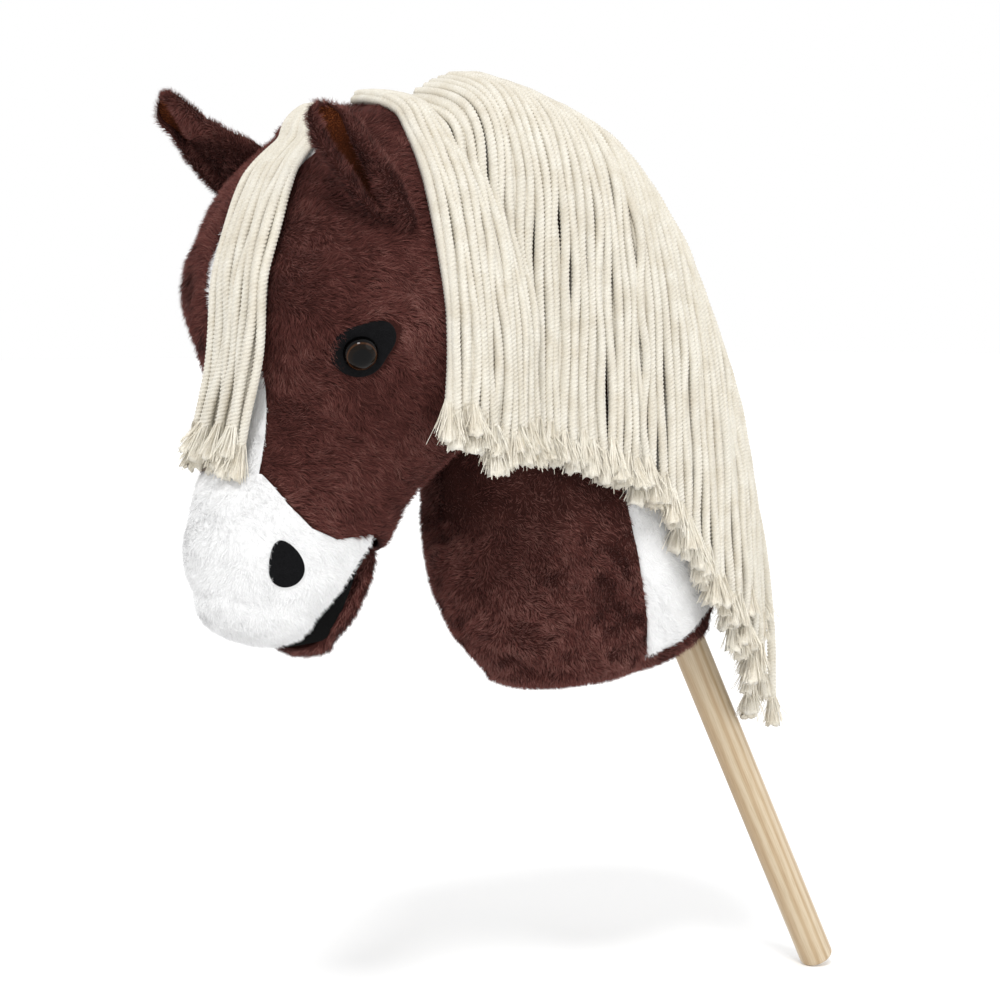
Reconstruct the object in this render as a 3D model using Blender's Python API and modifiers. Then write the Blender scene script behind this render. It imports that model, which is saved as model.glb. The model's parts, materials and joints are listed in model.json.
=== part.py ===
"""A plush hobby horse: a stuffed horse's head and neck on a wooden stick.

Metres, +Z up. The horse looks along -X, and its left side is at -Y, with y = 0 as the middle plane.
The origin is the centre of the stick's free end.
"""

import math
from collections import namedtuple

import bmesh
import bpy
from mathutils import Matrix, Vector

# Clearances
GAP = 0.0003

# Cloths, each with its pile
PLUSH = 0.004
FELT = 0.0012
SLEEVE_CLOTH = 0.0015
TAPE_CLOTH = 0.0015
EAR_CLOTH = 0.005
EAR_LINING_CLOTH = 0.0025

# Stick
STICK_DIAMETER = 0.028
STICK_LENGTH = 0.560
STICK_LEAN = math.radians(28.0)
STICK_END_ROUND = 0.0035

# Tie that holds the sleeve on the stick
TIE_HEIGHT = 0.006
TIE_THICKNESS = 0.002
TIE_PLACE = 0.345

# Safety eyes
EYE_DIAMETER = 0.024
EYE_RISE = 0.009
EYE_RIM = 0.0015
EYE_STEM_DIAMETER = 0.005
EYE_STEM_LENGTH = 0.020
EYE_X = -0.531
EYE_Z = 0.515
WASHER_DIAMETER = 0.020
WASHER_THICKNESS = 0.002
WASHER_BEDDING = 0.003

# Nostrils
NOSTRIL_WIDTH = 0.024
NOSTRIL_HEIGHT = 0.033
NOSTRIL_NARROWING = 0.28
NOSTRIL_TURN = math.radians(16.0)
NOSTRIL_X = -0.5665
NOSTRIL_Z = 0.3705

# Eye patches
EYE_PATCH_WIDTH = 0.038
EYE_PATCH_HEIGHT = 0.037
EYE_PATCH_CORNER = 0.012
EYE_PATCH_TURN = math.radians(49.0)

# Blaze and mouth
BLAZE_HALF_WIDTH = 0.036
MOUTH_GAPE = 0.009
MOUTH_HALF_WIDTH = 0.040
# Shares of the mouth's length, each with a share of its gape
MOUTH_PROFILE = ((0.30, 0.7), (0.72, 1.0), (0.94, 0.5))
MOUTH_END_SHARE = 0.96

# Ears
EAR_LENGTH = 0.088
EAR_WIDTH = 0.062
EAR_ROOT_WIDTH = 0.046
EAR_CURL = 0.016
EAR_HEM = 0.004
EAR_LINING_BEDDING = 0.0008
EAR_AXIS_HEIGHT = 0.0018
EAR_ROOT_CLEARANCE = 0.0009
EAR_ROOT_DEPTH = 0.0035
EAR_WIDEST_SHARE = 0.36
EAR_TIP_SHARE = 0.985
EAR_TIP_POWER = 2.6

# Each ear's seat on the head in side view, the way it points and the way it is hollow.
# The left one is sewn on lower.
EarSeat = namedtuple("EarSeat", "x z lean hollow")
LEFT_EAR = EarSeat(
    x=-0.508, z=0.607, lean=Vector((-0.052, -0.008, 0.069)), hollow=Vector((-0.30, -0.93, -0.25))
)
RIGHT_EAR = EarSeat(
    x=-0.512, z=0.643, lean=Vector((-0.058, 0.008, 0.047)), hollow=Vector((-0.80, -0.25, -0.50))
)

# Mane and forelock, laid from twisted cords
MANE_CORD_LENGTH = 0.335
MANE_FRONT_SHORTENING = 0.027
MANE_FRONT_SHARE = 0.25
MANE_LOCK_COUNT = 9
MANE_LOCK_THICKNESS = 0.009
MANE_FRONT_X = -0.474
MANE_REAR_X = -0.142
MANE_TAPE_WIDTH = 0.012
MANE_STAGGER = 0.010
MANE_FAN = 0.055
MANE_FAN_DEPTH = 0.25
MANE_BEND = 0.016
MANE_BEND_STEPS = 8
MANE_LOCK_COLUMNS = 2
CORD_BEDDING = 0.001
FORELOCK_LENGTH = 0.288
FORELOCK_ROOT_X = -0.503
FORELOCK_ROOT_WIDTH = 0.030
FORELOCK_WIDTH = 0.060
FORELOCK_THICKNESS = 0.009
FORELOCK_SPREAD = 0.080
FORELOCK_DRIFT = 0.015
FORELOCK_SWAY = 0.034
FORELOCK_COLUMNS = 4

# How finely the round forms are divided
RING_POINTS = 16
ROUND_POINTS = 24
SMALL_ROUND_POINTS = 16
SECTION_STEPS = 2
CAP_ANGLES = (32.0, 62.0)
CLOSE_LOOK = 0.001
FINE_LOOK = 0.00002

Section = namedtuple("Section", "front rear half full")
Form = namedtuple("Form", "sections first_cap last_cap")

# Head, from the poll down to the muzzle. Front and rear are (x, z) in the middle plane.
HEAD = Form(
    sections=(
        Section(front=(-0.520, 0.664), rear=(-0.431, 0.681), half=0.056, full=2.1),
        Section(front=(-0.551, 0.637), rear=(-0.386, 0.631), half=0.084, full=2.3),
        Section(front=(-0.572, 0.598), rear=(-0.368, 0.558), half=0.101, full=2.8),
        Section(front=(-0.583, 0.557), rear=(-0.363, 0.499), half=0.107, full=3.0),
        Section(front=(-0.578, 0.515), rear=(-0.383, 0.458), half=0.092, full=2.6),
        Section(front=(-0.577, 0.477), rear=(-0.414, 0.432), half=0.072, full=2.3),
        Section(front=(-0.586, 0.441), rear=(-0.440, 0.405), half=0.061, full=2.2),
        Section(front=(-0.598, 0.409), rear=(-0.457, 0.378), half=0.060, full=2.1),
        Section(front=(-0.604, 0.377), rear=(-0.488, 0.348), half=0.057, full=2.1),
        Section(front=(-0.596, 0.346), rear=(-0.516, 0.325), half=0.048, full=2.0),
    ),
    first_cap=0.014,
    last_cap=0.028,
)

# Neck, from the poll over the crest and down to its base.
NECK = Form(
    sections=(
        Section(front=(-0.478, 0.628), rear=(-0.456, 0.668), half=0.050, full=2.0),
        Section(front=(-0.462, 0.616), rear=(-0.405, 0.702), half=0.062, full=2.1),
        Section(front=(-0.440, 0.570), rear=(-0.358, 0.704), half=0.072, full=2.2),
        Section(front=(-0.420, 0.520), rear=(-0.261, 0.669), half=0.077, full=2.3),
        Section(front=(-0.407, 0.468), rear=(-0.193, 0.592), half=0.077, full=2.4),
        Section(front=(-0.400, 0.422), rear=(-0.148, 0.506), half=0.074, full=2.4),
        Section(front=(-0.400, 0.375), rear=(-0.120, 0.427), half=0.073, full=2.4),
        Section(front=(-0.391, 0.329), rear=(-0.114, 0.359), half=0.070, full=2.4),
        Section(front=(-0.369, 0.291), rear=(-0.130, 0.320), half=0.064, full=2.3),
        Section(front=(-0.345, 0.268), rear=(-0.138, 0.300), half=0.059, full=2.2),
    ),
    first_cap=0.010,
    last_cap=0.026,
)

# Lower jaw, from the mouth's corner to the chin.
JAW = Form(
    sections=(
        Section(front=(-0.497, 0.364), rear=(-0.479, 0.374), half=0.040, full=2.3),
        Section(front=(-0.507, 0.347), rear=(-0.483, 0.357), half=0.044, full=2.4),
        Section(front=(-0.524, 0.325), rear=(-0.493, 0.334), half=0.042, full=2.4),
        Section(front=(-0.536, 0.309), rear=(-0.507, 0.309), half=0.032, full=2.2),
    ),
    first_cap=0.010,
    last_cap=0.009,
)

# The mouth's plane in side view, from its corner to its front
MOUTH_CORNER = (-0.490, 0.387)
MOUTH_FRONT = (-0.548, 0.304)

# The seam between the head's panels and the neck's, from below to above
HEAD_SEAM = (
    (-0.436, 0.340),
    (-0.430, 0.405),
    (-0.404, 0.431),
    (-0.388, 0.470),
    (-0.380, 0.550),
    (-0.400, 0.630),
    (-0.440, 0.740),
)

# The edge of the white muzzle, from the front of the nose to the mouth's corner
MUZZLE_EDGE = (
    (-0.640, 0.440),
    (-0.575, 0.431),
    (-0.563, 0.411),
    (-0.548, 0.394),
    (-0.527, 0.385),
    (-0.493, 0.3865),
)

# The front edge of the white patch on the neck, from above to below
NECK_PATCH_EDGE = (
    (-0.285, 0.470),
    (-0.276, 0.415),
    (-0.271, 0.395),
    (-0.256, 0.345),
    (-0.245, 0.310),
    (-0.232, 0.240),
)
NECK_PATCH_TOP = (-0.060, 0.490)

# The seam round the neck's base, from its front to its rear
BASE_SEAM = (
    (-0.430, 0.326),
    (-0.376, 0.296),
    (-0.335, 0.273),
    (-0.280, 0.266),
    (-0.225, 0.281),
    (-0.189, 0.293),
    (-0.144, 0.315),
    (-0.120, 0.338),
    (-0.070, 0.356),
)

# Room past the forms' edges for the shapes that cut the panels
FAR = 0.160
BELOW = 0.180
ABOVE = 0.760


# Scene and objects


def clear_scene():
    for obj in list(bpy.data.objects):
        bpy.data.objects.remove(obj, do_unlink=True)


def make_collection(name):
    collection = bpy.data.collections.new(name)
    bpy.context.scene.collection.children.link(collection)
    return collection


def make_material(name, colour, roughness, metallic=0.0):
    material = bpy.data.materials.new(name)
    material.use_nodes = True
    shader = material.node_tree.nodes["Principled BSDF"]
    shader.inputs["Base Color"].default_value = (*colour, 1.0)
    shader.inputs["Roughness"].default_value = roughness
    shader.inputs["Metallic"].default_value = metallic
    material.diffuse_color = (*colour, 1.0)
    return material


def add_part(name, mesh, material, location=(0.0, 0.0, 0.0), rotation=None):
    obj = bpy.data.objects.new(name, mesh)
    obj.location = location
    if rotation is not None:
        obj.rotation_mode = "QUATERNION"
        obj.rotation_quaternion = rotation
    mesh.materials.append(material)
    PARTS.objects.link(obj)
    return obj


def add_cutter(name, mesh):
    obj = bpy.data.objects.new(name, mesh)
    obj.hide_render = True
    obj.display_type = "WIRE"
    CUTTERS.objects.link(obj)
    return obj


def mesh_from(bm, name, smooth=True):
    bmesh.ops.recalc_face_normals(bm, faces=bm.faces)
    mesh = bpy.data.meshes.new(name)
    bm.to_mesh(mesh)
    bm.free()
    if smooth:
        mesh.shade_smooth()
        mesh.set_sharp_from_angle(angle=math.radians(40.0))
    return mesh


def add_boolean(obj, operation, cutter):
    modifier = obj.modifiers.new(f"{operation.lower()}_{cutter.name}", "BOOLEAN")
    modifier.operation = operation
    modifier.object = cutter
    return modifier


def add_thickness(obj, thickness, offset=1.0):
    modifier = obj.modifiers.new("thickness", "SOLIDIFY")
    modifier.thickness = thickness
    modifier.offset = offset
    modifier.use_even_offset = True
    return modifier


# Lofted forms


def middle_of(section):
    return Vector(section.front).lerp(Vector(section.rear), 0.5)


def arm_of(section):
    return (Vector(section.front) - Vector(section.rear)) / 2


def curve_through(before, start, end, after, t):
    """A point of the smooth curve from start to end, where before and after are its other neighbours."""
    straight = 2 * start + (end - before) * t
    bend = (2 * before - 5 * start + 4 * end - after) * t * t
    twist = (3 * start - before - 3 * end + after) * t ** 3
    return (straight + bend + twist) / 2


def fine_sections(form):
    """The form's sections with smooth ones between them."""
    rows = [Vector((*s.front, *s.rear)) for s in form.sections]
    sizes = [Vector((s.half, s.full)) for s in form.sections]
    last = len(rows) - 1
    fine = []
    for i in range(last):
        around = (max(i - 1, 0), i, i + 1, min(i + 2, last))
        for step in range(SECTION_STEPS):
            t = step / SECTION_STEPS
            row = curve_through(*(rows[k] for k in around), t)
            half, full = curve_through(*(sizes[k] for k in around), t)
            fine.append(Section((row[0], row[1]), (row[2], row[3]), half, full))
    fine.append(form.sections[last])
    return fine


def outward_axis(sections, at_start):
    """The direction in the middle plane that a closing cap swells towards."""
    end, inner = (sections[0], sections[1]) if at_start else (sections[-1], sections[-2])
    across = arm_of(end).normalized()
    axis = Vector((-across.y, across.x))
    towards = middle_of(end) - middle_of(inner)
    return axis if axis.dot(towards) > 0 else -axis


def drawn_in(section, inset, shrink=1.0, shift=Vector((0.0, 0.0))):
    """The section moved by shift and drawn in by inset, then shrunk about its middle."""
    centre = middle_of(section) + shift
    arm = arm_of(section)
    along = arm.normalized() * (arm.length - inset) * shrink
    half = (section.half - inset) * shrink
    return Section(tuple(centre + along), tuple(centre - along), half, section.full)


def cap_of(sections, depth, inset, at_start):
    """Sections that close an end as half an ellipsoid, from the end outwards, and the pole."""
    end = sections[0] if at_start else sections[-1]
    axis = outward_axis(sections, at_start)
    rise = depth - inset
    cap = []
    for degrees in CAP_ANGLES:
        angle = math.radians(degrees)
        cap.append(drawn_in(end, inset, math.cos(angle), axis * (rise * math.sin(angle))))
    pole = middle_of(end) + axis * rise
    return cap, Vector((pole.x, 0.0, pole.y))


def closed_sections(form, inset):
    """All sections drawn in by inset, with those of both round ends, and the two poles."""
    key = (id(form), inset)
    if key not in CLOSED_SECTIONS:
        fine = fine_sections(form)
        first, first_pole = cap_of(fine, form.first_cap, inset, True)
        last, last_pole = cap_of(fine, form.last_cap, inset, False)
        body = [drawn_in(section, inset) for section in fine]
        CLOSED_SECTIONS[key] = (first[::-1] + body + last, first_pole, last_pole)
    return CLOSED_SECTIONS[key]


def section_ring(section):
    """Points round a section, as a rounded oval."""
    centre = middle_of(section)
    arm = arm_of(section)
    power = 2 / section.full
    ring = []
    for i in range(RING_POINTS):
        angle = math.tau * i / RING_POINTS
        c, s = math.cos(angle), math.sin(angle)
        c = math.copysign(abs(c) ** power, c)
        s = math.copysign(abs(s) ** power, s)
        ring.append(Vector((centre.x + arm.x * c, section.half * s, centre.y + arm.y * c)))
    return ring


def loft_mesh(name, form, inset):
    """A closed skin through the form's sections, drawn in by inset all round."""
    sections, first_pole, last_pole = closed_sections(form, inset)
    bm = bmesh.new()
    rows = [[bm.verts.new(point) for point in section_ring(section)] for section in sections]
    for row, following in zip(rows, rows[1:]):
        for i in range(RING_POINTS):
            j = (i + 1) % RING_POINTS
            bm.faces.new((row[i], row[j], following[j]))
            bm.faces.new((row[i], following[j], following[i]))
    for row, pole in ((rows[0], first_pole), (rows[-1], last_pole)):
        tip = bm.verts.new(pole)
        for i in range(RING_POINTS):
            bm.faces.new((row[i], row[(i + 1) % RING_POINTS], tip))
    return mesh_from(bm, name)


def half_width(form, x, z, inset=0.0):
    """Half the form's width at a place in the middle plane, or 0 outside it."""
    place = Vector((x, z))
    widest = 0.0
    sections = closed_sections(form, inset)[0]
    for one, other in zip(sections, sections[1:]):
        sides = []
        for section in (one, other):
            across = arm_of(section).normalized()
            offset = place - middle_of(section)
            sides.append(across.x * offset.y - across.y * offset.x)
        if sides[0] * sides[1] > 0 or sides[0] == sides[1]:
            continue
        t = sides[0] / (sides[0] - sides[1])
        middle = middle_of(one).lerp(middle_of(other), t)
        arm = arm_of(one).lerp(arm_of(other), t)
        half = one.half + (other.half - one.half) * t
        full = one.full + (other.full - one.full) * t
        share = abs((place - middle).dot(arm.normalized())) / arm.length
        if share < 1:
            widest = max(widest, half * (1 - share ** full) ** (1 / full))
    return widest


def whole_half_width(x, z, inset=0.0):
    return max(half_width(HEAD, x, z, inset), half_width(NECK, x, z, inset))


def side_place(form, x, z, side):
    """A point on the form's side and the direction out of it. The side is -1 for left, 1 for right."""
    here = half_width(form, x, z)
    slope_x = (half_width(form, x + CLOSE_LOOK, z) - half_width(form, x - CLOSE_LOOK, z)) / (2 * CLOSE_LOOK)
    slope_z = (half_width(form, x, z + CLOSE_LOOK) - half_width(form, x, z - CLOSE_LOOK)) / (2 * CLOSE_LOOK)
    normal = Vector((-slope_x, side, -slope_z)).normalized()
    return Vector((x, side * here, z)), normal


def top_of(x, y, inset=0.0):
    """The height of the whole form's upper side over a place."""
    low = ABOVE
    while whole_half_width(x, low, inset) <= abs(y):
        low -= CLOSE_LOOK
    high = low + CLOSE_LOOK
    while high - low > FINE_LOOK:
        middle = (low + high) / 2
        if whole_half_width(x, middle, inset) > abs(y):
            low = middle
        else:
            high = middle
    return high


def whole_form(inset):
    """Head and neck as one closed cutter, drawn in by inset."""
    if inset not in WHOLE_FORMS:
        label = f"{round(inset * 1e5)}"
        head = add_cutter(f"whole_form_{label}", loft_mesh(f"whole_form_{label}", HEAD, inset))
        neck = add_cutter(f"neck_form_{label}", loft_mesh(f"neck_form_{label}", NECK, inset))
        add_boolean(head, "DIFFERENCE", mouth_block(max(inset, 0.0)))
        add_boolean(head, "UNION", neck)
        WHOLE_FORMS[inset] = head
    return WHOLE_FORMS[inset]


def slab_mesh(name, outline, low_y, high_y):
    """A flat outline of (x, z) points, drawn out from low_y to high_y."""
    bm = bmesh.new()
    face = bm.faces.new([bm.verts.new((x, low_y, z)) for x, z in outline])
    drawn = bmesh.ops.extrude_face_region(bm, geom=[face])["geom"]
    moved = [v for v in drawn if isinstance(v, bmesh.types.BMVert)]
    bmesh.ops.translate(bm, verts=moved, vec=(0.0, high_y - low_y, 0.0))
    return mesh_from(bm, name, smooth=False)


def mouth_block(inset):
    """What the mouth's plane takes off the head: all behind and below it, from inset above it."""
    name = f"mouth_block_{round(inset * 1e5)}"
    if name in bpy.data.objects:
        return bpy.data.objects[name]
    corner, front = Vector(MOUTH_CORNER), Vector(MOUTH_FRONT)
    along = (front - corner).normalized()
    up = Vector((along.y, -along.x))
    up = up if up.x < 0 else -up
    start = corner + (up - along) * inset
    end = front + up * inset + along * FAR
    below = -up * FAR
    outline = (start, end, end + below, start + below)
    return add_cutter(name, slab_mesh(name, outline, -FAR, FAR))


# Cylinders and turned pieces


def cylinder_mesh(name, radius, low, high, points=ROUND_POINTS):
    """A cylinder round local Z, from low to high."""
    bm = bmesh.new()
    bmesh.ops.create_cone(
        bm,
        cap_ends=True,
        segments=points,
        radius1=radius,
        radius2=radius,
        depth=high - low,
        matrix=Matrix.Translation((0.0, 0.0, (low + high) / 2)),
    )
    return mesh_from(bm, name)


def turned_part(name, profile, material, location, rotation, steps=ROUND_POINTS):
    """A profile of (radius, height) points at +X, from top to bottom, turned about local Z."""
    bm = bmesh.new()
    points = [bm.verts.new((radius, 0.0, height)) for radius, height in profile]
    for one, other in zip(points, points[1:]):
        bm.edges.new((one, other))
    mesh = bpy.data.meshes.new(name)
    bm.to_mesh(mesh)
    bm.free()
    obj = add_part(name, mesh, material, location, rotation)
    screw = obj.modifiers.new("turn", "SCREW")
    screw.angle = math.tau
    screw.steps = steps
    screw.render_steps = steps
    screw.use_merge_vertices = True
    screw.merge_threshold = 0.00001
    screw.use_smooth_shade = True
    return obj


def turn_from_z(direction):
    return Vector((0.0, 0.0, 1.0)).rotation_difference(direction)


def place_cutter(name, mesh, location, rotation):
    obj = add_cutter(name, mesh)
    obj.location = location
    obj.rotation_mode = "QUATERNION"
    obj.rotation_quaternion = rotation
    return obj


# Stick, its sleeve and the tie


def stick_direction():
    return Vector((-math.sin(STICK_LEAN), 0.0, math.cos(STICK_LEAN)))


def build_stick():
    radius = STICK_DIAMETER / 2
    rotation = turn_from_z(stick_direction())
    stick = add_part("stick", cylinder_mesh("stick", radius, 0.0, STICK_LENGTH), WOOD, rotation=rotation)
    bevel = stick.modifiers.new("rounded_ends", "BEVEL")
    bevel.width = STICK_END_ROUND
    bevel.segments = 3
    bevel.limit_method = "ANGLE"
    bevel.angle_limit = math.radians(60.0)

    sleeve_inside = radius + GAP
    sleeve_outside = sleeve_inside + SLEEVE_CLOTH
    sleeve_top = STICK_LENGTH + GAP + SLEEVE_CLOTH
    sleeve_mesh = cylinder_mesh("stick_sleeve", sleeve_outside, 0.0, sleeve_top)
    sleeve = add_part("stick_sleeve", sleeve_mesh, LINEN, rotation=rotation)
    bore = cylinder_mesh("sleeve_bore", sleeve_inside, -GAP, STICK_LENGTH + GAP)
    add_boolean(sleeve, "DIFFERENCE", place_cutter("sleeve_bore", bore, (0.0, 0.0, 0.0), rotation))
    add_boolean(sleeve, "INTERSECT", whole_form(PLUSH + GAP))

    tie_inside = sleeve_outside + GAP
    tie_outside = tie_inside + TIE_THICKNESS
    tie_top = TIE_PLACE + TIE_HEIGHT
    tie_mesh = cylinder_mesh("stick_tie", tie_outside, TIE_PLACE, tie_top)
    tie = add_part("stick_tie", tie_mesh, NYLON, rotation=rotation)
    tie_bore = cylinder_mesh("tie_bore", tie_inside, TIE_PLACE - GAP, tie_top + GAP)
    add_boolean(tie, "DIFFERENCE", place_cutter("tie_bore", tie_bore, (0.0, 0.0, 0.0), rotation))

    room = cylinder_mesh("stick_room", sleeve_outside + GAP, 0.0, sleeve_top + GAP)
    tie_room = cylinder_mesh("tie_room", tie_outside + GAP, TIE_PLACE - GAP, tie_top + GAP)
    passage = cylinder_mesh("stick_passage", radius + GAP, 0.0, sleeve_top)
    return (
        place_cutter("stick_room", room, (0.0, 0.0, 0.0), rotation),
        place_cutter("tie_room", tie_room, (0.0, 0.0, 0.0), rotation),
        place_cutter("stick_passage", passage, (0.0, 0.0, 0.0), rotation),
    )


# Panels of plush, as parts of the skin between two insets


def add_panel(name, outline_mesh, material, outer=0.0, inner=PLUSH):
    panel = add_part(name, outline_mesh, material)
    add_boolean(panel, "INTERSECT", whole_form(outer))
    add_boolean(panel, "DIFFERENCE", whole_form(inner))
    return panel


def side_range(side):
    """Low and high y of a panel on one side, clear of the middle seam."""
    low, high = GAP / 2, FAR
    return (low, high) if side > 0 else (-high, -low)


def moved_outline(points, dx, dz):
    return [(x + dx, z + dz) for x, z in points]


def white_region(name, clearance):
    """Cutter for the blaze and the muzzle, grown by clearance."""
    seam = moved_outline(MUZZLE_EDGE, clearance, clearance)
    front_x = seam[0][0]
    muzzle = seam + [(seam[-1][0], BELOW), (front_x, BELOW)]
    region = add_cutter(name, slab_mesh(name, muzzle, -FAR, FAR))
    half = BLAZE_HALF_WIDTH + clearance
    blaze_rear = FORELOCK_ROOT_X
    foot_z = MUZZLE_EDGE[1][1] - 2 * PLUSH
    blaze = (
        (front_x, foot_z),
        (MUZZLE_EDGE[1][0] + 2 * PLUSH, foot_z),
        (blaze_rear + clearance, HEAD.sections[1].front[1]),
        (blaze_rear + clearance, ABOVE),
        (front_x, ABOVE),
    )
    blaze_name = f"{name}_blaze"
    add_boolean(region, "UNION", add_cutter(blaze_name, slab_mesh(blaze_name, blaze, -half, half)))
    return region


def build_panels(passage):
    white_cutter = white_region("white_region", 0.0)
    white_room = white_region("white_room", GAP)
    head_side = [(x - GAP, z) for x, z in HEAD_SEAM]
    front_x = MUZZLE_EDGE[0][0]
    head_outline = head_side + [(front_x, ABOVE), (front_x, BELOW), (HEAD_SEAM[0][0] - GAP, BELOW)]
    blaze_mesh = slab_mesh("blaze_and_muzzle", head_outline, -FAR, FAR)
    blaze = add_part("blaze_and_muzzle", blaze_mesh, WHITE_PLUSH)
    add_boolean(blaze, "INTERSECT", white_cutter)
    add_boolean(blaze, "INTERSECT", whole_form(0.0))
    add_boolean(blaze, "DIFFERENCE", whole_form(PLUSH))

    patch_top_x, patch_top_z = NECK_PATCH_TOP
    patch_low_z = NECK_PATCH_EDGE[-1][1]
    patch_outline = list(NECK_PATCH_EDGE) + [(patch_top_x, patch_low_z), (patch_top_x, patch_top_z)]
    base_low = [(BASE_SEAM[-1][0], BELOW), (BASE_SEAM[0][0], BELOW)]
    base_cutter_outline = moved_outline(BASE_SEAM, 0.0, GAP) + base_low
    base_cutter = add_cutter("base_room", slab_mesh("base_room", base_cutter_outline, -FAR, FAR))
    neck_outline = list(HEAD_SEAM) + [(0.0, ABOVE), (0.0, BELOW), (HEAD_SEAM[0][0], BELOW)]
    for side, label in ((-1, "left"), (1, "right")):
        low, high = side_range(side)
        face_name = f"face_panel_{label}"
        face = add_panel(face_name, slab_mesh(face_name, head_outline, low, high), BROWN_PLUSH)
        add_boolean(face, "DIFFERENCE", white_room)

        patch_name = f"neck_patch_{label}"
        patch = add_panel(patch_name, slab_mesh(patch_name, patch_outline, low, high), WHITE_PLUSH)
        add_boolean(patch, "DIFFERENCE", base_cutter)

        room_name = f"neck_patch_room_{label}"
        room_outline = moved_outline(NECK_PATCH_EDGE, -GAP, 0.0)
        room_outline += [(patch_top_x, patch_low_z), (patch_top_x, patch_top_z + GAP)]
        patch_room = add_cutter(room_name, slab_mesh(room_name, room_outline, -FAR, FAR))
        neck_name = f"neck_panel_{label}"
        neck = add_panel(neck_name, slab_mesh(neck_name, neck_outline, low, high), BROWN_PLUSH)
        add_boolean(neck, "DIFFERENCE", patch_room)
        add_boolean(neck, "DIFFERENCE", base_cutter)
        PANELS[face_name] = face

    base_outline = list(BASE_SEAM) + base_low
    base = add_panel("neck_base", slab_mesh("neck_base", base_outline, -FAR, FAR), BROWN_PLUSH)
    add_boolean(base, "DIFFERENCE", passage)


# Stuffing


def build_stuffing(stick_room, tie_room):
    inset = PLUSH + GAP
    neck = add_part("neck_stuffing", loft_mesh("neck_stuffing", NECK, inset), FILLING)
    add_boolean(neck, "DIFFERENCE", stick_room)
    add_boolean(neck, "DIFFERENCE", tie_room)
    head = add_part("head_stuffing", loft_mesh("head_stuffing", HEAD, inset), FILLING)
    add_boolean(head, "DIFFERENCE", mouth_block(inset))
    neck_room = add_cutter("neck_room", loft_mesh("neck_room", NECK, PLUSH))
    add_boolean(head, "DIFFERENCE", neck_room)
    return head


# Lower jaw and mouth


def mouth_frame():
    corner, front = Vector(MOUTH_CORNER), Vector(MOUTH_FRONT)
    along = (front - corner).normalized()
    down = Vector((-along.y, along.x))
    return corner, along, (front - corner).length, down if down.x > 0 else -down


def build_mouth():
    corner, along, length, down = mouth_frame()
    jaw = add_part("lower_jaw", loft_mesh("lower_jaw", JAW, 0.0), BROWN_PLUSH)
    lining_outline = [corner + along * PLUSH + down * GAP]
    for length_share, gape_share in MOUTH_PROFILE:
        depth = GAP + MOUTH_GAPE * gape_share
        lining_outline.append(corner + along * (length * length_share) + down * depth)
    lining_outline.append(corner + along * (length * MOUTH_END_SHARE) + down * GAP)
    lining_mesh = slab_mesh("mouth_lining", lining_outline, -MOUTH_HALF_WIDTH, MOUTH_HALF_WIDTH)
    lining = add_part("mouth_lining", lining_mesh, BLACK_CLOTH)
    muzzle_shape = add_cutter("muzzle_shape", loft_mesh("muzzle_shape", HEAD, PLUSH))
    add_boolean(lining, "INTERSECT", muzzle_shape)
    reach = FAR / 3
    room_outline = [corner - (along + down) * reach]
    room_outline += [point + down * GAP for point in lining_outline[:-1]]
    room_outline += [corner + along * (length + reach) + down * (2 * GAP)]
    room_outline += [corner + along * (length + reach) - down * reach]
    jaw_room = add_cutter("jaw_room", slab_mesh("jaw_room", room_outline, -FAR, FAR))
    add_boolean(jaw, "DIFFERENCE", jaw_room)
    jaw_seat = add_cutter("jaw_seat", loft_mesh("jaw_seat", HEAD, -GAP))
    add_boolean(jaw_seat, "DIFFERENCE", mouth_block(0.0))
    add_boolean(jaw, "DIFFERENCE", jaw_seat)


# Eyes and nostrils


def rounded_outline(width, height, corner, points=20):
    """An almond: an oval whose rear upper end is drawn out by corner."""
    outline = []
    for i in range(points):
        angle = math.tau * i / points
        pull = max(0.0, math.cos(angle - EYE_PATCH_TURN)) ** 6
        reach = 1 + corner / width * 2 * pull
        outline.append((width / 2 * math.cos(angle) * reach, height / 2 * math.sin(angle) * reach))
    return outline


def teardrop_outline(width, height, points=16):
    """An oval that is narrower above than below, with its narrow end turned to the front."""
    turn = Matrix.Rotation(NOSTRIL_TURN, 2)
    outline = []
    for i in range(points):
        angle = math.tau * i / points
        up = math.sin(angle)
        across = width / 2 * math.cos(angle) * (1 - NOSTRIL_NARROWING * up)
        outline.append(tuple(turn @ Vector((across, height / 2 * up))))
    return outline


def surface_turn(normal, side):
    """A frame with local Z out of the surface and local X towards the horse's rear."""
    rear = Vector((1.0, 0.0, 0.0))
    rear = (rear - normal * rear.dot(normal)).normalized()
    up = normal.cross(rear) * -side
    return rear, up


def felt_piece(name, outline, form_x, form_z, side, material):
    place, normal = side_place(HEAD, form_x, form_z, side)
    rear, up = surface_turn(normal, side)
    bm = bmesh.new()
    depth = EYE_STEM_LENGTH
    low = [place + rear * x + up * z - normal * depth for x, z in outline]
    face = bm.faces.new([bm.verts.new(point) for point in low])
    drawn = bmesh.ops.extrude_face_region(bm, geom=[face])["geom"]
    moved = [v for v in drawn if isinstance(v, bmesh.types.BMVert)]
    bmesh.ops.translate(bm, verts=moved, vec=normal * depth * 2)
    return add_panel(name, mesh_from(bm, name, smooth=False), material, outer=-(GAP + FELT), inner=-GAP)


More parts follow.
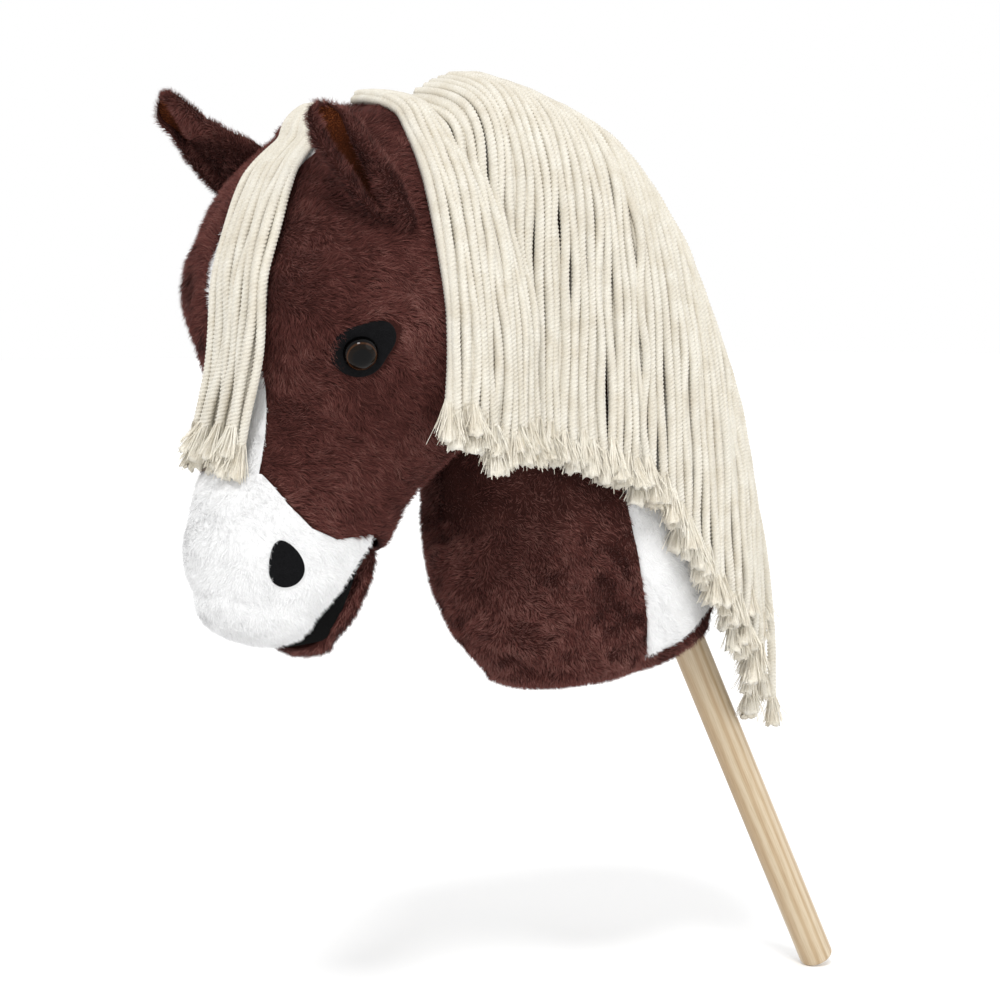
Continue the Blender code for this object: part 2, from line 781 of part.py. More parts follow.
def eye_profile():
    """Dome, rim, flat back and stem, from the dome's top to the stem's end."""
    radius = EYE_DIAMETER / 2
    profile = []
    for degrees in (90.0, 70.0, 47.0, 24.0, 0.0):
        angle = math.radians(degrees)
        profile.append((radius * math.cos(angle), EYE_RIM + EYE_RISE * math.sin(angle)))
    profile[0] = (0.0, EYE_RIM + EYE_RISE)
    stem = EYE_STEM_DIAMETER / 2
    profile += [(radius, 0.0), (stem, 0.0), (stem, -EYE_STEM_LENGTH), (0.0, -EYE_STEM_LENGTH)]
    return profile


def build_eyes(head_stuffing):
    stem_radius = EYE_STEM_DIAMETER / 2
    washer_radius = WASHER_DIAMETER / 2
    for side, label in ((-1, "left"), (1, "right")):
        place, normal = side_place(HEAD, EYE_X, EYE_Z, side)
        rotation = turn_from_z(normal)
        seat = place + normal * (FELT + 2 * GAP)
        outline = rounded_outline(EYE_PATCH_WIDTH, EYE_PATCH_HEIGHT, EYE_PATCH_CORNER)
        patch = felt_piece(f"eye_patch_{label}", outline, EYE_X, EYE_Z, side, BLACK_FELT)
        turned_part(f"eye_{label}", eye_profile(), AMBER_PLASTIC, seat, rotation)

        hole_radius = stem_radius + GAP
        hole = cylinder_mesh("stem_hole", hole_radius, -FAR / 4, EYE_STEM_LENGTH, SMALL_ROUND_POINTS)
        hole = place_cutter(f"stem_hole_{label}", hole, seat, rotation)
        washer_top = -(FELT + 2 * GAP + PLUSH + WASHER_BEDDING)
        washer_low = washer_top - WASHER_THICKNESS
        washer_mesh = cylinder_mesh("eye_washer", washer_radius, washer_low, washer_top)
        washer = add_part(f"eye_washer_{label}", washer_mesh, NYLON, seat, rotation)
        add_boolean(washer, "DIFFERENCE", hole)
        room = cylinder_mesh("washer_room", washer_radius + GAP, washer_low - GAP, EYE_STEM_LENGTH)
        room = place_cutter(f"washer_room_{label}", room, seat, rotation)
        add_boolean(head_stuffing, "DIFFERENCE", room)
        room_low = -EYE_STEM_LENGTH - GAP
        stem_room = cylinder_mesh("stem_room", hole_radius, room_low, 0.0, SMALL_ROUND_POINTS)
        stem_room = place_cutter(f"stem_room_{label}", stem_room, seat, rotation)
        add_boolean(head_stuffing, "DIFFERENCE", stem_room)
        add_boolean(patch, "DIFFERENCE", hole)
        add_boolean(PANELS[f"face_panel_{label}"], "DIFFERENCE", hole)
        nostril = teardrop_outline(NOSTRIL_WIDTH, NOSTRIL_HEIGHT)
        felt_piece(f"nostril_{label}", nostril, NOSTRIL_X, NOSTRIL_Z, side, BLACK_FELT)


# Ears


def leaf_half_width(share):
    """Half the ear's width at a share of its length: widest at a third, round at the tip."""
    root = EAR_ROOT_WIDTH / EAR_WIDTH
    if share < EAR_WIDEST_SHARE:
        swell = root + (1 - root) * math.sin(share / EAR_WIDEST_SHARE * math.pi / 2)
    else:
        beyond = (share - EAR_WIDEST_SHARE) / (1 - EAR_WIDEST_SHARE)
        swell = math.sqrt(max(0.0, 1 - beyond ** EAR_TIP_POWER))
    return EAR_WIDTH / 2 * swell


def ear_frame(side):
    """The hinge's middle, the ear's length, its root's line and the side that it is hollow on."""
    seat = RIGHT_EAR if side > 0 else LEFT_EAR
    place, normal = side_place(HEAD, seat.x, seat.z, side)
    length = seat.lean.normalized()
    root = normal.cross(seat.hollow).normalized()
    hollow = root.cross(length).normalized()
    facing = 1 if hollow.dot(seat.hollow) > 0 else -1
    return place + normal * EAR_AXIS_HEIGHT, length, root, hollow * facing


def ear_sheet(name, side, start, hem, lift):
    """The ear as an open sheet from start along its length, without its hem, lifted on the hollow side."""
    _, length, root, hollow = ear_frame(side)
    rows, columns = 8, 7
    bm = bmesh.new()
    grid = []
    for r in range(rows):
        along = start + (EAR_LENGTH * EAR_TIP_SHARE - hem - start) * r / (rows - 1)
        beyond_root = max(0.0, along)
        half = leaf_half_width(beyond_root / EAR_LENGTH) - hem
        curl = EAR_CURL * math.sin(min(1.0, beyond_root / (EAR_LENGTH / 2)) * math.pi / 2)
        line = []
        for c in range(columns):
            across = half * (2 * c / (columns - 1) - 1)
            rise = curl * (across / (EAR_WIDTH / 2)) ** 2 + lift
            line.append(bm.verts.new(length * along + root * across + hollow * rise))
        grid.append(line)
    for lower, upper in zip(grid, grid[1:]):
        for c in range(columns - 1):
            bm.faces.new((lower[c], lower[c + 1], upper[c + 1], upper[c]))
    bm.normal_update()
    if sum((face.normal for face in bm.faces), Vector()).dot(hollow) < 0:
        bmesh.ops.reverse_faces(bm, faces=bm.faces)
    mesh = bpy.data.meshes.new(name)
    bm.to_mesh(mesh)
    bm.free()
    mesh.shade_smooth()
    return mesh


def build_ears():
    for side, label in ((-1, "left"), (1, "right")):
        middle = ear_frame(side)[0]
        hinge = bpy.data.objects.new(f"ear_hinge_{label}", None)
        hinge.location = middle
        hinge.empty_display_size = EAR_WIDTH / 4
        PARTS.objects.link(hinge)
        shell_name = f"ear_shell_{label}"
        shell_mesh = ear_sheet(shell_name, side, -EAR_ROOT_DEPTH, 0.0, EAR_CLOTH / 2)
        shell = add_part(shell_name, shell_mesh, BROWN_PLUSH)
        add_thickness(shell, EAR_CLOTH, offset=-1.0)
        add_boolean(shell, "DIFFERENCE", whole_form(-EAR_ROOT_CLEARANCE))
        lining_name = f"ear_lining_{label}"
        lining_lift = EAR_CLOTH / 2 + GAP + EAR_LINING_BEDDING
        lining_mesh = ear_sheet(lining_name, side, EAR_HEM, EAR_HEM, lining_lift)
        lining = add_part(lining_name, lining_mesh, RUST_VELVET)
        add_thickness(lining, EAR_LINING_CLOTH, offset=1.0)
        shell.parent = hinge
        lining.parent = hinge


# Mane and forelock


def resampled(path, distances):
    """Points at the given distances along a path."""
    points = []
    travelled = 0.0
    k = 0
    for distance in distances:
        while k < len(path) - 2 and travelled + (path[k + 1] - path[k]).length < distance:
            travelled += (path[k + 1] - path[k]).length
            k += 1
        step = (path[k + 1] - path[k]).length
        t = (distance - travelled) / step if step else 0.0
        points.append(path[k].lerp(path[k + 1], t))
    return points


def row_distances(length, first_step=0.008, growth=1.35):
    """Distances from 0 to length whose steps grow, so that a bend near the start stays round."""
    distances = [0.0]
    step = first_step
    while distances[-1] + step * 1.5 < length:
        distances.append(distances[-1] + step)
        step *= growth
    distances.append(length)
    return distances


def mane_path(x, lift):
    """The way of a cord from x on the crest over the left side and down. Those at the rear fan out."""
    path = []
    for i in range(MANE_BEND_STEPS):
        y = MANE_BEND * i / MANE_BEND_STEPS
        path.append(Vector((x, -GAP - y, top_of(x, y, -lift))))
    share = (x - MANE_FRONT_X) / (MANE_REAR_X - MANE_FRONT_X)
    top, z = path[0].z, path[-1].z
    widest = 0.0
    while z > top - MANE_CORD_LENGTH - MANE_BEND:
        z -= 2 * CLOSE_LOOK
        left = max(0.0, 1 - (path[MANE_BEND_STEPS - 1].z - z) / MANE_FAN_DEPTH)
        fanned_x = x + MANE_FAN * share ** 2 * (1 - left ** 2)
        widest = max(widest, whole_half_width(fanned_x, z, -lift))
        path.append(Vector((fanned_x, -GAP - widest, z)))
    return path


def slab_between(name, inner, outer):
    """A closed slab between two grids of points, given as columns."""
    bm = bmesh.new()
    low = [[bm.verts.new(point) for point in column] for column in inner]
    high = [[bm.verts.new(point) for point in column] for column in outer]
    for grid in (low, high):
        for one, other in zip(grid, grid[1:]):
            for r in range(len(one) - 1):
                bm.faces.new((one[r], one[r + 1], other[r + 1], other[r]))
    for k in (0, -1):
        for r in range(len(low[k]) - 1):
            bm.faces.new((low[k][r], low[k][r + 1], high[k][r + 1], high[k][r]))
        for c in range(len(low) - 1):
            bm.faces.new((low[c][k], low[c + 1][k], high[c + 1][k], high[c][k]))
    return mesh_from(bm, name)


def build_mane():
    tape_half = MANE_TAPE_WIDTH / 2
    crest = [Vector((x, top_of(x, 0.0))) for x in crest_places()]
    above = [(p.x, p.y + FAR / 4) for p in reversed(crest)]
    below = [(p.x, p.y - MANE_TAPE_WIDTH) for p in crest]
    tape_slab = slab_mesh("mane_tape", below + above, -tape_half, tape_half)
    add_panel("mane_tape", tape_slab, COTTON, outer=-(GAP + TAPE_CLOTH), inner=-GAP)

    lift = GAP + TAPE_CLOTH + GAP
    width = (MANE_REAR_X - MANE_FRONT_X) / MANE_LOCK_COUNT
    for i in range(MANE_LOCK_COUNT):
        shorter = MANE_STAGGER * (i % 3) / 2
        share = (i + 0.5) / MANE_LOCK_COUNT
        shorter += MANE_FRONT_SHORTENING * max(0.0, 1 - share / MANE_FRONT_SHARE)
        start = MANE_FRONT_X + width * i + GAP
        end = start + width - 2 * GAP
        distances = row_distances(MANE_CORD_LENGTH - shorter)
        inner, outer = [], []
        for k in range(MANE_LOCK_COLUMNS + 1):
            x = start + (end - start) * k / MANE_LOCK_COLUMNS
            inner.append(resampled(mane_path(x, lift - CORD_BEDDING), distances))
            outer.append(resampled(mane_path(x, lift + MANE_LOCK_THICKNESS), distances))
        name = f"mane_lock_{i + 1}"
        lock = add_part(name, slab_between(name, inner, outer), COTTON)
        add_boolean(lock, "DIFFERENCE", whole_form(-lift))


def crest_places(count=24):
    """Places along x under the mane's tape, closer together where the crest falls away."""
    span = MANE_REAR_X - MANE_FRONT_X
    return [MANE_FRONT_X + span * math.sin(math.pi / 2 * i / count) for i in range(count + 1)]


def forelock_path(lift):
    """The way of a cord from the poll over the forehead and down, in the middle plane."""
    path = [Vector((FORELOCK_ROOT_X, 0.0, top_of(FORELOCK_ROOT_X, 0.0, -lift)))]
    for section in closed_sections(HEAD, -lift)[0]:
        x, z = section.front
        if x < FORELOCK_ROOT_X:
            path.append(Vector((min(x, path[-1].x), 0.0, z)))
    return path


def build_forelock():
    distances = row_distances(FORELOCK_LENGTH)
    grids = []
    for lift in (GAP - CORD_BEDDING, GAP + FORELOCK_THICKNESS):
        path = resampled(forelock_path(lift), distances)
        columns = []
        for k in range(FORELOCK_COLUMNS + 1):
            share = 2 * k / FORELOCK_COLUMNS - 1
            column = []
            for point, distance in zip(path, distances):
                spread = min(1.0, distance / FORELOCK_SPREAD)
                half = (FORELOCK_ROOT_WIDTH + (FORELOCK_WIDTH - FORELOCK_ROOT_WIDTH) * spread) / 2
                along = distance / FORELOCK_LENGTH
                drift = FORELOCK_DRIFT * along - FORELOCK_SWAY * math.sin(math.pi * along)
                column.append(point + Vector((0.0, drift + half * share, 0.0)))
            columns.append(column)
        grids.append(columns)
    seat = Vector((FORELOCK_ROOT_X, 0.0, top_of(FORELOCK_ROOT_X, 0.0)))
    inner, outer = [[[point - seat for point in column] for column in grid] for grid in grids]
    forelock = add_part("forelock", slab_between("forelock", inner, outer), COTTON, location=seat)
    add_boolean(forelock, "DIFFERENCE", whole_form(-GAP))


clear_scene()
PARTS = make_collection("hobby_horse")
CUTTERS = make_collection("hobby_horse_cutters")
CUTTERS.hide_render = True
WHOLE_FORMS = {}
PANELS = {}
CLOSED_SECTIONS = {}

WOOD = make_material("pine", (0.61, 0.44, 0.27), 0.5)
BROWN_PLUSH = make_material("brown_plush", (0.075, 0.025, 0.022), 0.9)
WHITE_PLUSH = make_material("white_plush", (0.84, 0.84, 0.83), 0.9)
RUST_VELVET = make_material("rust_velvet", (0.19, 0.045, 0.012), 0.85)
BLACK_FELT = make_material("black_felt", (0.012, 0.011, 0.011), 0.95)
BLACK_CLOTH = make_material("black_cloth", (0.010, 0.010, 0.010), 0.9)
AMBER_PLASTIC = make_material("amber_plastic", (0.09, 0.035, 0.012), 0.08)
NYLON = make_material("nylon", (0.75, 0.75, 0.72), 0.4)
LINEN = make_material("sleeve_cloth", (0.70, 0.66, 0.58), 0.9)
COTTON = make_material("cotton_cord", (0.80, 0.75, 0.63), 0.9)
FILLING = make_material("polyester_filling", (0.88, 0.88, 0.87), 0.95)

STICK_ROOM, TIE_ROOM, STICK_PASSAGE = build_stick()
HEAD_STUFFING = build_stuffing(STICK_ROOM, TIE_ROOM)
build_panels(STICK_PASSAGE)
build_mouth()
build_eyes(HEAD_STUFFING)
build_ears()
build_mane()
build_forelock()
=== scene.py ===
"""The looks of a plush hobby horse: pile, twisted cords, felt, glossy eyes and a pine stick.

Metres, +Z up. The horse looks along -X, its left side is at -Y, and y = 0 is the middle plane.
The origin is the centre of the stick's free end. Pile is one narrow triangle for each tuft of hairs.
Its map holds the tuft's shade in the first number, and 0 at the root to 1 at the tip in the second.
"""

import json
import math
from collections import namedtuple

import bmesh
import bpy
import numpy as np
from mathutils import Matrix, Vector


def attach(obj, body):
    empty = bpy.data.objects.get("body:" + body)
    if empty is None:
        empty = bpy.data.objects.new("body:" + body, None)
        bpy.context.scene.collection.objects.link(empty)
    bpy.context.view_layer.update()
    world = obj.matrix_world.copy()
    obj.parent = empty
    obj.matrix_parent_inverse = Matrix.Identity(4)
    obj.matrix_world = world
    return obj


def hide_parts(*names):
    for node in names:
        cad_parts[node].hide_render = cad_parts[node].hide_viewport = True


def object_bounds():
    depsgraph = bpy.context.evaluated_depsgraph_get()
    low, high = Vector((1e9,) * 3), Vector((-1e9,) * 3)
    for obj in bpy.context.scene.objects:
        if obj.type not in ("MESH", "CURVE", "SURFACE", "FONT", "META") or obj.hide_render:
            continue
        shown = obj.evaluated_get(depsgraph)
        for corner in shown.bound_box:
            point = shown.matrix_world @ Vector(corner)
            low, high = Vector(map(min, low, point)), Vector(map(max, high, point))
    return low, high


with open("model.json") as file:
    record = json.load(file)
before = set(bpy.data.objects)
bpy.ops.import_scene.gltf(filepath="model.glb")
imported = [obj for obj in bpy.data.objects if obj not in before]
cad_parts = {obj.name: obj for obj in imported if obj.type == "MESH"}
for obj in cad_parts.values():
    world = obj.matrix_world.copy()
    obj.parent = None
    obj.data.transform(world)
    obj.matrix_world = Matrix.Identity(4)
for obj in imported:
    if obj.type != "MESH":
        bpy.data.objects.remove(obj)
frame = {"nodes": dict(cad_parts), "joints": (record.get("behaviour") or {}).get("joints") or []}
CAD_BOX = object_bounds()
MAP_NAME = "OFBake"

# Camera and light
CAMERA_TURN = math.radians(-38.0)
CAMERA_RISE = math.radians(4.0)
CAMERA_DISTANCE = 1.92
CAMERA_AIM = Vector((-0.33946, 0.0, 0.40119))
CAMERA_LENS = 92.0
CAMERA_SENSOR = 36.0
FLOOR_REACH = 30.0
FLOOR_GLOW = 0.10
WORLD_LIGHT = 0.88
# Each lamp's name, its place from the camera's aim, its spread in degrees and its power
LAMPS = (
    ("key_lamp", (-1.6, -1.6, 2.4), 14.0, 1.50),
    ("fill_lamp", (1.0, -2.4, 1.0), 40.0, 0.50),
)

# Sizes shared with the solids
GAP = 0.0003
PLUSH = 0.004
FELT = 0.0012
TAPE_CLOTH = 0.0015
STICK_DIAMETER = 0.028
STICK_LENGTH = 0.560
STICK_LEAN = math.radians(28.0)
STICK_END_ROUND = 0.0035
SLEEVE_CLOTH = 0.0015
TIE_HEIGHT = 0.006
TIE_PLACE = 0.345
EYE_DIAMETER = 0.024
EYE_RISE = 0.009
EYE_RIM = 0.0015
EYE_X = -0.531
EYE_Z = 0.515
NOSTRIL_WIDTH = 0.024
NOSTRIL_HEIGHT = 0.033
NOSTRIL_NARROWING = 0.28
NOSTRIL_TURN = math.radians(16.0)
NOSTRIL_X = -0.5665
NOSTRIL_Z = 0.3705
EYE_PATCH_WIDTH = 0.038
EYE_PATCH_HEIGHT = 0.037
EYE_PATCH_CORNER = 0.012
EYE_PATCH_TURN = math.radians(49.0)
BLAZE_HALF_WIDTH = 0.036
BLAZE_FAR_WIDTH = 0.014
MOUTH_GAPE = 0.009
MOUTH_PROFILE = ((0.30, 0.7), (0.72, 1.0), (0.94, 0.5))

# Sleeve, eyes and felt, finer than in the solids
SLEEVE_CREASE = 0.0004
SLEEVE_CREASES = 11
EYE_STEM_RADIUS = 0.0025
EYE_STEM_LENGTH = 0.020
EYE_DOME_RINGS = 22
# Felt from its middle to its cut edge, as shares of the outline and of its height
FELT_FLAT = tuple((share, 1.0) for share in (0.0, 0.2, 0.4, 0.6, 0.8, 0.92))
FELT_RINGS = (*FELT_FLAT, (0.985, 0.93), (1.0, 0.7), (1.0, -0.4))
FELT_STAND = 1.6
FELT_REACH = 0.04
# How far the pile keeps off the felt, as factors on the outline's width and height
EYE_PATCH_MARGINS = (1.02, 1.02)
NOSTRIL_MARGINS = (1.10, 1.08)

# The mouth's cloth ends short of the lip, and there it rises and narrows. Pairs are a share and a factor
MOUTH_CLOTH_GRID = (28, 24)
MOUTH_CLOTH_END = 0.94
MOUTH_CLOTH_RISE = ((0.78, 1.0), (MOUTH_CLOTH_END, 0.3))
MOUTH_CLOTH_WIDTHS = ((0.0, 0.50), (0.14, 1.0), (0.85, 1.0), (MOUTH_CLOTH_END, 0.85))

# Ears
EAR_BACK = 0.0035
EAR_CURL = 4.0
EAR_TIP_SHARE = 0.87
EAR_TIP_POWER = 2.4
EAR_SINK = 0.004
EAR_ROOT_REACH = 0.040
EAR_START_LIMITS = (-0.006, 0.004)
EAR_THINNEST = 0.0006
EAR_LUMP = 0.0005
EAR_RINGS = 56
LINING_SHARES = (0.06, 0.985)
LINING_ROWS = 48
LINING_COLUMNS = 11
LINING_CUP = 0.0012
# Each row of an ear's shape is a share of its length, half its width there, its middle's shift to the rear,
# the front lip's and the lining's widths in halves of the ear's width, and how high the lips stand
EarSeat = namedtuple("EarSeat", "joint length lean hollow shape")
LEFT_EAR = EarSeat(
    joint="ear_left_flop",
    length=0.088,
    lean=Vector((-0.052, -0.008, 0.069)),
    hollow=Vector((-0.30, -0.93, -0.25)),
    shape=(
        (0.00, 0.0135, 0.0000, 0.60, 0.12, 0.0050),
        (0.06, 0.0185, 0.0000, 0.60, 0.16, 0.0085),
        (0.16, 0.0225, 0.0000, 0.62, 0.22, 0.0115),
        (0.35, 0.0250, -0.0010, 0.60, 0.42, 0.0120),
        (0.60, 0.0260, -0.0035, 0.54, 0.62, 0.0105),
        (0.80, 0.0205, -0.0030, 0.40, 0.85, 0.0070),
        (1.00, 0.0150, -0.0010, 0.30, 1.10, 0.0025),
    ),
)
RIGHT_EAR = EarSeat(
    joint="ear_right_flop",
    length=0.087,
    lean=Vector((-0.060, 0.008, 0.043)),
    hollow=Vector((-0.80, -0.25, -0.50)),
    shape=(
        (0.00, 0.0290, -0.0020, 0.38, 0.02, 0.0060),
        (0.12, 0.0280, -0.0040, 0.38, 0.04, 0.0110),
        (0.30, 0.0260, -0.0065, 0.36, 0.06, 0.0120),
        (0.57, 0.0190, -0.0070, 0.34, 0.16, 0.0100),
        (0.80, 0.0150, -0.0045, 0.28, 0.80, 0.0065),
        (1.00, 0.0165, -0.0045, 0.25, 1.10, 0.0030),
    ),
)

# Cords
CORD_DIAMETER = 0.0062
CORD_PITCH = 0.0088
CORD_PLIES = 3
CORD_LOBE = 0.20
TUFT_LENGTH = 0.024
TUFT_STRANDS = 140
TUFT_FLARE = 2.3
TUFT_TURN = 0.18
TUFT_CORE = 0.80
TUFT_SHARES = np.array((0.12, 0.3, 0.5, 0.7, 0.88, 1.0))
# Where a cord's laid length and its brushed end lie along the map, each a start and a reach, and its cut
CORD_MAP = (0.02, 0.88)
TUFT_MAP = (0.90, 0.07)
CUT_MAP = 0.995
SWAY_LENGTHS = (0.30, 0.16, 0.09)
SWAY_FREED_AFTER = 0.10
CORD_DIAMETERS = (0.93, 1.07)
TUFT_LENGTHS = (0.85, 1.1)
# The step along a cord and the points round it
FINE_CORD = (CORD_PITCH / 9, 12)
COARSE_CORD = (CORD_PITCH / 6, 9)
STRAND_WIDTH = 0.0007
MANE_CORD_LENGTH = 0.335
MANE_FRONT_SHORTENING = 0.027
MANE_FRONT_SHARE = 0.25
MANE_LOCK_COUNT = 9
MANE_FRONT_X = -0.474
MANE_REAR_X = -0.142
MANE_TAPE_WIDTH = 0.012
MANE_FAN = 0.066
MANE_FLARE = 0.012
MANE_REAR_DROOP = 0.034
MANE_FAN_DEPTH = 0.25
MANE_BEND = 0.016
MANE_CORDS_PER_LOCK = 5
MANE_ROOT_SIDE = 0.002
MANE_STEP = 0.002
MANE_DROOP_START = 0.60
MANE_DROOP_SPAN = 0.42
MANE_CORD_SWAY = 0.0016
# Each layer's height in cord diameters, and its first cord's place in spacings
MANE_LAYER_HEIGHTS = (0.5, 1.05)
MANE_LAYER_STARTS = (0.25, 0.75)
MANE_UNEVENNESS = 0.012
# The rear cords end in steps, and those below are tucked in under the ones above
MANE_STACK_SHARE = 0.76
MANE_STACK_HEIGHT = 0.100
MANE_STACK_STEPS = ((0.0, 0.0, 0.0, 0.0, 0.27), (0.0, 0.58, 0.04, 0.90, 0.0))
MANE_TUCK = 0.018
FORELOCK_LENGTH = 0.288
FORELOCK_ROOT_X = -0.503
FORELOCK_ROOT_WIDTH = 0.030
FORELOCK_WIDTH = 0.065
FORELOCK_SPREAD = 0.080
FORELOCK_DRIFT = 0.008
FORELOCK_SWAY = 0.034
FORELOCK_CORDS = 8
FORELOCK_LAYER_HEIGHTS = (0.5, 1.25)
FORELOCK_CORD_SWAY = 0.0018
FORELOCK_STEP = 0.002
FORELOCK_UNEVENNESS = 0.008

# Lower jaw, as its filling presses it out
JAW_DROP = 0.0060
JAW_DROPS = ((0.0, -0.10), (0.30, -0.60), (0.55, 0.60), (0.80, 1.25), (1.0, 0.80))
JAW_PLUMP = 0.0030
JAW_PILE_GAP = 0.0012
# The gape at the mouth's corner and at its front, for the jaw and for the cloth, and the front's share
JAW_GAPE_ENDS = (0.001, 0.002, 1.05)
CLOTH_GAPE_ENDS = (0.0005, 0.0005, 1.0)

# The neck's skin is set in for its pile, and each skin goes on inside the other form by its overlap
NECK_INSET = 0.003
HEAD_OVERLAP = 0.0075
NECK_OVERLAP = 0.003
PILE_OVERLAP = 0.003
SKIN_CLOTH = PLUSH - 0.001

# The filling's soft lumps: each kind's height, size and seed
LUMPS = ((0.0012, 0.090, 5), (0.0005, 0.035, 6))
JAW_LUMPS = ((0.0006, 0.040, 7),)
SEAM_WIDTH = 0.004

# Pile
PILE_LENGTH = 0.0070
PILE_WIDTH = 0.00055
PILE_DENSITY = 1.15e6
EAR_PILE_LENGTH = 0.0055
LINING_PILE_LENGTH = 0.0020
LINING_LIFT = 0.0012
CLUMP_SIZE = 0.006
CLUMP_PULL = 0.30
# Large numbers that give each clump's cell its own centre
CLUMP_SCATTER = np.array([[12.99, 78.23, 37.72], [39.35, 11.13, 83.16], [73.16, 52.24, 9.15]])
CLUMP_STIR = 43758.5
EAR_CROWDING = 1.3
LINING_CROWDING = 1.6
# The pile of the blaze turns to the muzzle's over this height
MUZZLE_TOP_Z = 0.47
MUZZLE_FLOW_SPAN = 0.10
PILE_UNDER_MANE = 0.35
MANE_COVER_SIDE = 0.004
MANE_COVER_START = 0.06
# Each kind's length, its angle from the skin, its shade and how far its lie wanders
PILE_LOOKS = {
    # The face's pile has a lower shade than the neck's on the same plush: painted shade on the face,
    # painted light on the neck
    "face": (PILE_LENGTH, 0.50, 0.42, 0.7),
    "neck": (PILE_LENGTH * 0.72, 0.85, 0.60, 1.3),
    "base": (PILE_LENGTH * 0.72, 0.85, 0.55, 1.0),
    "white": (PILE_LENGTH * 0.60, 0.62, 0.55, 0.8),
    "jaw": (PILE_LENGTH * 0.9, 0.45, 0.55, 0.7),
    "ear": (EAR_PILE_LENGTH, 0.75, 0.52, 1.0),
}
# The lining's shade from its root to its tip, as shares of the ear's length and shades: painted shade,
# darkest towards the root in the ear's hollow
LINING_SHADES = ((0.3, 0.06), (0.55, 0.18), (0.92, 0.72))
# How a tuft's size, lie and shade differ from its kind's, and how far its root stands in the skin
PILE_LENGTHS = (0.7, 1.15)
PILE_WIDTHS = (0.7, 1.3)
PILE_WANDERING = ((0.8, 0.050, 11), (0.7, 0.014, 12))
PILE_TURN_SPREAD = 0.30
PILE_LAY_SPREAD = 0.16
PILE_SHADE_SPREAD = 0.14
PILE_SHADE_LIMITS = (0.02, 0.98)
PILE_ROOT_DEPTH = 0.0004
PILE_MAP_WIDTH = 0.0015

# How finely the forms are divided
RING_POINTS = 96
SECTION_STEPS = 9
CAP_STEPS = 9
ROUND_POINTS = 64

Section = namedtuple("Section", "front rear half full")
Form = namedtuple("Form", "sections first_cap last_cap")
Loft = namedtuple("Loft", "centre arm half full poles")

HEAD = Form(
    sections=(
        Section(front=(-0.520, 0.664), rear=(-0.431, 0.681), half=0.056, full=2.1),
        Section(front=(-0.551, 0.637), rear=(-0.386, 0.631), half=0.084, full=2.3),
        Section(front=(-0.572, 0.598), rear=(-0.368, 0.558), half=0.101, full=2.8),
        Section(front=(-0.583, 0.557), rear=(-0.363, 0.499), half=0.107, full=3.0),
        Section(front=(-0.578, 0.515), rear=(-0.383, 0.458), half=0.092, full=2.6),
        Section(front=(-0.577, 0.477), rear=(-0.414, 0.432), half=0.072, full=2.3),
        Section(front=(-0.586, 0.441), rear=(-0.440, 0.405), half=0.061, full=2.2),
        Section(front=(-0.598, 0.409), rear=(-0.457, 0.378), half=0.060, full=2.1),
        Section(front=(-0.604, 0.377), rear=(-0.488, 0.348), half=0.057, full=2.1),
        Section(front=(-0.596, 0.346), rear=(-0.516, 0.325), half=0.048, full=2.0),
    ),
    first_cap=0.014,
    last_cap=0.028,
)
NECK = Form(
    sections=(
        Section(front=(-0.478, 0.628), rear=(-0.456, 0.668), half=0.050, full=2.0),
        Section(front=(-0.462, 0.616), rear=(-0.405, 0.702), half=0.062, full=2.1),
        Section(front=(-0.440, 0.570), rear=(-0.358, 0.704), half=0.072, full=2.2),
        Section(front=(-0.420, 0.520), rear=(-0.261, 0.669), half=0.077, full=2.3),
        Section(front=(-0.407, 0.468), rear=(-0.193, 0.592), half=0.077, full=2.4),
        Section(front=(-0.400, 0.422), rear=(-0.148, 0.506), half=0.074, full=2.4),
        Section(front=(-0.400, 0.375), rear=(-0.120, 0.427), half=0.073, full=2.4),
        Section(front=(-0.391, 0.329), rear=(-0.114, 0.359), half=0.070, full=2.4),
        Section(front=(-0.369, 0.291), rear=(-0.130, 0.320), half=0.064, full=2.3),
        Section(front=(-0.345, 0.268), rear=(-0.138, 0.300), half=0.059, full=2.2),
    ),
    first_cap=0.010,
    last_cap=0.026,
)
JAW = Form(
    sections=(
        Section(front=(-0.497, 0.364), rear=(-0.479, 0.374), half=0.040, full=2.3),
        Section(front=(-0.507, 0.347), rear=(-0.483, 0.357), half=0.044, full=2.4),
        Section(front=(-0.524, 0.325), rear=(-0.493, 0.334), half=0.042, full=2.4),
        Section(front=(-0.536, 0.309), rear=(-0.507, 0.309), half=0.032, full=2.2),
    ),
    first_cap=0.010,
    last_cap=0.009,
)

MOUTH_CORNER = (-0.490, 0.387)
MOUTH_FRONT = (-0.548, 0.304)
HEAD_SEAM = (
    (-0.436, 0.340),
    (-0.430, 0.405),
    (-0.404, 0.431),
    (-0.388, 0.470),
    (-0.380, 0.550),
    (-0.400, 0.630),
    (-0.440, 0.740),
)
MUZZLE_EDGE = (
    (-0.640, 0.440),
    (-0.575, 0.431),
    (-0.563, 0.411),
    (-0.548, 0.394),
    (-0.527, 0.385),
    (-0.493, 0.3865),
)
NECK_PATCH_EDGE = (
    (-0.285, 0.470),
    (-0.276, 0.415),
    (-0.271, 0.395),
    (-0.256, 0.345),
    (-0.245, 0.310),
    (-0.232, 0.240),
)
NECK_PATCH_TOP = (-0.060, 0.490)
BASE_SEAM = (
    (-0.430, 0.326),
    (-0.376, 0.296),
    (-0.335, 0.273),
    (-0.280, 0.266),
    (-0.225, 0.281),
    (-0.189, 0.293),
    (-0.144, 0.315),
    (-0.120, 0.338),
    (-0.070, 0.356),
)
# How deep the skin is drawn in along each seam
SEAM_DEPTHS = ((HEAD_SEAM, 0.0015), (NECK_PATCH_EDGE, 0.0012), (BASE_SEAM, 0.0020), (MUZZLE_EDGE, 0.0010))
# Lengths and heights that lie outside the forms
FAR = 0.160
BELOW = 0.180
ABOVE = 0.760


# Lofted forms


